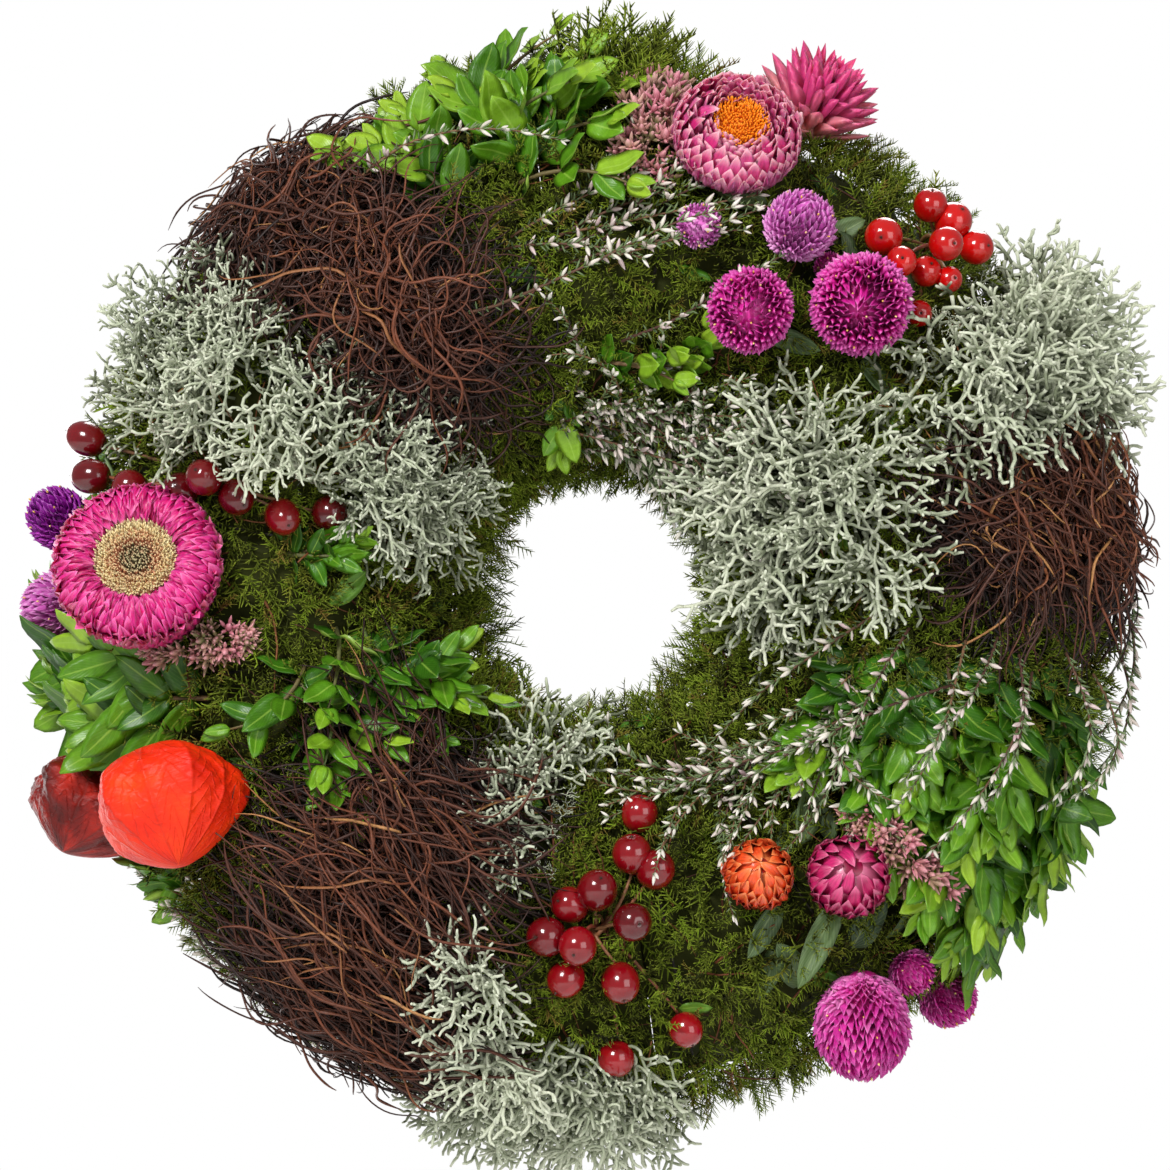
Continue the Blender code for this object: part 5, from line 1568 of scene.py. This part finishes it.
def grow_amaranths(stem, leaf, lances):
    """The globe amaranths, with gold specks and a few leaves."""
    rng = np.random.default_rng(73)
    magenta = petal_finish("amaranth_magenta", tones((0, 188, 12, 122), (0.4, 220, 30, 156),
                                                     (0.75, 228, 66, 174), (1, 232, 124, 190)),
                           srgb(190, 14, 122), srgb(236, 120, 200), 0.42, 0, 12, 0.4)
    violet = petal_finish("amaranth_violet", tones((0, 96, 4, 104), (0.6, 146, 14, 154), (1, 178, 50, 178)),
                          srgb(76, 4, 76), srgb(196, 84, 196), 0.42, 0, 12, 0.4)
    lilac = petal_finish("amaranth_lilac", tones((0, 178, 54, 150), (0.5, 212, 92, 188),
                                                 (1, 228, 144, 208)), srgb(180, 56, 152),
                         srgb(238, 172, 224), 0.42, 0, 12, 0.4)
    gold = petal_finish("amaranth_gold", tones((0, 220, 170, 70), (1, 240, 210, 130)), srgb(190, 130, 50),
                        srgb(250, 226, 160), 0.5, 20, 2, 0.2)
    spiky = slender_petals(rng, 0.5, 5, 0.05, 0.5, 5, 3)
    speck = [pod(4, 5, lambda s: np.maximum(0.3 * np.sin(math.pi * (0.1 + 0.85 * s)), 0.04))]
    # finish, count of bracts, share of the turn towards the way given, that way, growth, and what each
    # end is longer by in mm
    looks = {
        "amaranth_upper_1": (lilac, 340, 0.6, (0.3, -0.5, 0.8), 1.1, 0),
        "amaranth_upper_2": (magenta, 420, 0.6, (-0.3, -0.9, -0.3), 1.0, 0),
        "amaranth_upper_3": (magenta, 560, 0.7, (-0.25, -0.85, -0.35), 1.08, 0),
        "amaranth_upper_4": (magenta, 160, 0.0, (0, -1, 0), 1.0, 0),
        "amaranth_upper_5": (lilac, 180, 0.0, (0, -1, 0), 1.0, 0),
        "amaranth_left_1": (violet, 340, 0.6, (-0.2, -0.3, 0.9), 1.0, 0),
        "amaranth_left_2": (lilac, 360, 0.0, (-1, -0.4, 0), 1.1, 0),
        "amaranth_lower_1": (magenta, 520, 0.85, (-0.12, -0.35, -0.9), 1.04, 2.5),
        "amaranth_lower_2": (magenta, 200, 0.0, (0, -1, 0), 1.0, 0),
        "amaranth_lower_3": (magenta, 320, 0.0, (0, -1, 0), 1.0, 0),
    }
    extras = {
        "amaranth_upper_2": [(24, 6, 4, 250, 16, 3), (33, -4, 4, -20, 15, 3)],
        "amaranth_upper_3": [(48, 6, 4, -40, 17, 3.4), (40, 24, 4, 110, 14, 3.4), (47, 20, 5, 60, 16, 3.4)],
        "amaranth_upper_1": [(24, 30, 4, 170, 14, 3), (33, 28, 5, 30, 12, 3)],
        "amaranth_lower_1": [(144, 34, 4, 70, 18, 4), (152, 36, 4, 120, 17, 4), (143, 55, 5, 20, 18, 4),
                             (140, 38, 5, 40, 20, 4)],
        "amaranth_lower_3": [(134, 66, 4, 30, 14, 3.4), (136, 60, 5, 60, 16, 3.4)],
        "amaranth_left_1": [(281, 60, 3, 120, 14, 3.4)],
        "amaranth_left_2": [(271, 66, 3, 190, 14, 3.4)],
    }
    for node, (finish, count, face, toward, grow, longer) in looks.items():
        stalk = Stalk(node, face, grow, toward)
        stalk.top += longer * MM
        stalk.bottom -= longer * MM
        mesh = Mesh()
        receptacle(mesh, stalk, stalk.radius * 0.74, stalk.bottom + 1 * MM,
                   stalk.top - stalk.radius * 0.3, 7, 0)
        scale = stalk.radius / (12 * MM)
        closed_head(mesh, rng, stalk, spiky, finish, count,
                    (5.6 * scale * MM, 7.6 * scale * MM, 7.4 * scale * MM),
                    (1.9 * scale * MM, 2.9 * scale * MM), (0.5, 0.75, 1.0), 58, 152, 3, 0.8, 0, -28,
                    10.0, 0.6)
        turn, t = spiral(max(6, count // 22))
        places, ring = stalk.at(stalk.radius * 0.9 * np.sin(np.sqrt(t) * 1.6), turn,
                                stalk.bottom + (stalk.top - stalk.bottom)
                                * (0.5 + 0.47 * np.cos(np.sqrt(t) * 1.6)))
        frames = petal_frames(stalk, ring, np.radians(80 - 60 * t))
        scatter(mesh, speck[0], places, frames, np.full(len(t), 1.0 * MM),
                gold.pick(rng, rng.random(len(t))), 3)
        items = extras.get(node, [])
        if items:
            lance_leaves(mesh, rng, lances, leaf, items, 1)
        foot_stem(mesh, rng, stalk, stem, 2, 0.9)
        mesh.make(node + "_bracts", [finish.material, leaf.material, stem.material, gold.material],
                  [node])


def grow_flowers():
    """All flower heads and the finishes they share."""
    stem = strand_finish("flower_stem", tones((0, 90, 104, 54), (1, 128, 118, 70)), None, 0.6, 22, 2)
    leaf = leaf_finish("grey_green_leaf", tones((0, 50, 74, 40), (1, 96, 122, 66)), srgb(116, 136, 92),
                       srgb(136, 156, 104), 0.55, 12, 8)
    rng = np.random.default_rng(70)
    lances = leaf_shapes(rng, 0.5, 4, 1.0)
    grow_strawflowers(stem)
    grow_buds(stem, leaf, lances)
    grow_amaranths(stem, leaf, lances)


def grow_lanterns():
    """The two papery lanterns."""
    stem = strand_finish("lantern_stem", tones((0, 140, 96, 56), (1, 170, 120, 70)), None, 0.6, 22, 2)
    front = lantern_finish("lantern_orange", (srgb(234, 44, 2), srgb(246, 66, 4)), srgb(206, 24, 2),
                           srgb(196, 34, 4))
    rear = lantern_finish("lantern_faded", (srgb(116, 16, 8), srgb(196, 34, 10)), srgb(44, 12, 9),
                          srgb(64, 24, 18))
    lantern(np.random.default_rng(81), "physalis_lantern_front", front, stem,
            (0.3, -0.45, -0.85), 1.1, 1.6)
    lantern(np.random.default_rng(82), "physalis_lantern_rear", rear, stem,
            (-0.35, -0.4, -0.85), 1.08, 4.0)


def grow_berries():
    """The three berry clusters."""
    stem = strand_finish("berry_stalk", tones((0, 60, 34, 22), (0.5, 150, 104, 66), (1, 150, 70, 50)),
                         None, 0.5, 18, 6)
    bright = berry_finish("bright_berry", srgb(168, 6, 6), srgb(208, 16, 12))
    dark = berry_finish("dark_berry", srgb(88, 4, 12), srgb(132, 8, 20))
    crimson = berry_finish("crimson_berry", srgb(96, 2, 12), srgb(156, 8, 22))
    rng = np.random.default_rng(91)
    berry_cluster(rng, "berries_upper_right", bright, stem, 1.03)
    berry_cluster(rng, "berries_left", dark, stem, 1.25)
    berry_cluster(rng, "berries_bottom", crimson, stem, 1.12)


def metal_finish(name, dark, light, roughness, metallic):
    """Drawn wire: fine streaks and specks of two tones."""
    material = bpy.data.materials.new(name)
    material.use_nodes = True
    tree = material.node_tree
    shader = tree.nodes["Principled BSDF"]
    shader.inputs["Metallic"].default_value = metallic
    place = tree.nodes.new("ShaderNodeTexCoord")
    noise = tree.nodes.new("ShaderNodeTexNoise")
    noise.inputs["Scale"].default_value = 900.0
    noise.inputs["Detail"].default_value = 4.0
    ramp = tree.nodes.new("ShaderNodeValToRGB")
    ramp.color_ramp.elements[0].position, ramp.color_ramp.elements[0].color = 0.35, (*dark, 1)
    ramp.color_ramp.elements[1].position, ramp.color_ramp.elements[1].color = 0.65, (*light, 1)
    rough = tree.nodes.new("ShaderNodeMapRange")
    rough.inputs["To Min"].default_value = roughness - 0.1
    rough.inputs["To Max"].default_value = roughness + 0.15
    bump = tree.nodes.new("ShaderNodeBump")
    bump.inputs["Strength"].default_value = 0.2
    bump.inputs["Distance"].default_value = 0.0001
    tree.links.new(place.outputs["Object"], noise.inputs["Vector"])
    tree.links.new(noise.outputs[0], ramp.inputs[0])
    tree.links.new(noise.outputs[0], rough.inputs["Value"])
    tree.links.new(noise.outputs[0], bump.inputs["Height"])
    tree.links.new(ramp.outputs[0], shader.inputs["Base Color"])
    tree.links.new(rough.outputs[0], shader.inputs["Roughness"])
    tree.links.new(bump.outputs[0], shader.inputs["Normal"])
    return material


def finish_wires():
    """The CAD's own wires keep their shape and get metal finishes."""
    dark = metal_finish("annealed_wire", srgb(30, 27, 24), srgb(58, 52, 46), 0.6, 0.5)
    zinc = metal_finish("galvanised_wire", srgb(150, 152, 154), srgb(206, 208, 210), 0.35, 1.0)
    for node, material in (("binding_wire", dark), ("hanging_staple", zinc), ("hanging_loop", zinc)):
        item = frame["nodes"][node]
        for slot in item.material_slots:
            slot.material = material


# ---------------------------------------------------------------- light, floor and camera

def floor():
    """A pale floor that only stands in the pictures."""
    mesh = bpy.data.meshes.new("floor")
    turn = np.linspace(0, math.tau, 96, endpoint=False)
    rim = [(FLOOR_RADIUS * math.cos(a), FLOOR_RADIUS * math.sin(a), FLOOR_Z) for a in turn]
    mesh.from_pydata(rim, [], [list(range(len(rim)))])
    plane = bpy.data.objects.new("floor", mesh)
    bpy.context.scene.collection.objects.link(plane)
    material = bpy.data.materials.new("pale_floor")
    material.use_nodes = True
    tree = material.node_tree
    shader = tree.nodes["Principled BSDF"]
    shader.inputs["Roughness"].default_value = 0.8
    place = tree.nodes.new("ShaderNodeTexCoord")
    noise = tree.nodes.new("ShaderNodeTexNoise")
    noise.inputs["Scale"].default_value = 6.0
    ramp = tree.nodes.new("ShaderNodeValToRGB")
    ramp.color_ramp.elements[0].color = (0.78, 0.78, 0.77, 1)
    ramp.color_ramp.elements[1].color = (0.84, 0.84, 0.83, 1)
    tree.links.new(place.outputs["Object"], noise.inputs["Vector"])
    tree.links.new(noise.outputs[0], ramp.inputs[0])
    tree.links.new(ramp.outputs[0], shader.inputs["Base Color"])
    mesh.materials.append(material)


def area_light(name, place, size, power, target):
    """A square lamp that shines at the target."""
    data = bpy.data.lights.new(name, "AREA")
    data.size = size
    data.energy = power
    lamp = bpy.data.objects.new(name, data)
    lamp.location = place
    lamp.rotation_euler = (Vector(target) - Vector(place)).to_track_quat("-Z", "Y").to_euler()
    bpy.context.scene.collection.objects.link(lamp)


def light():
    """Four lamps round the wreath, and a world that is white to the camera only."""
    middle = (0, 0, CENTRE_Z)
    area_light("key", (-0.6, -1.3, 0.8), 0.45, 27, middle)
    area_light("fill", (0.9, -1.2, 0.1), 0.9, 7, middle)
    area_light("rim", (0.2, 0.9, 0.9), 0.8, 12, middle)
    area_light("low", (-0.6, 0.8, -0.2), 0.8, 7, middle)
    world = bpy.data.worlds.new("studio")
    world.use_nodes = True
    tree = world.node_tree
    back = tree.nodes["Background"]
    back.inputs["Color"].default_value = (1, 1, 1, 1)
    path = tree.nodes.new("ShaderNodeLightPath")
    strength = tree.nodes.new("ShaderNodeMapRange")
    strength.inputs["To Min"].default_value = 0.32
    strength.inputs["To Max"].default_value = 1.0
    tree.links.new(path.outputs["Is Camera Ray"], strength.inputs["Value"])
    tree.links.new(strength.outputs[0], back.inputs["Strength"])
    bpy.context.scene.world = world
    bpy.context.scene.view_settings.view_transform = "Standard"


def camera():
    """Straight in front of the wreath, far enough away for the photograph's flat perspective."""
    data = bpy.data.cameras.new("camera")
    data.sensor_width = 36.0
    data.lens = EYE_LENS
    eye = bpy.data.objects.new("camera", data)
    eye.location = (-2.6 * MM, -EYE_DISTANCE, CENTRE_Z + 2.6 * MM)
    eye.rotation_euler = (math.radians(90), 0, 0)
    bpy.context.scene.collection.objects.link(eye)
    bpy.context.scene.camera = eye


camera()
light()
floor()
grow_moss_and_straw()
loose_stems()
loose_leaves()
grow_roots()
grow_silver()
grow_boxwood()
grow_heather()
grow_sedum()
grow_flowers()
grow_lanterns()
grow_berries()
finish_wires()
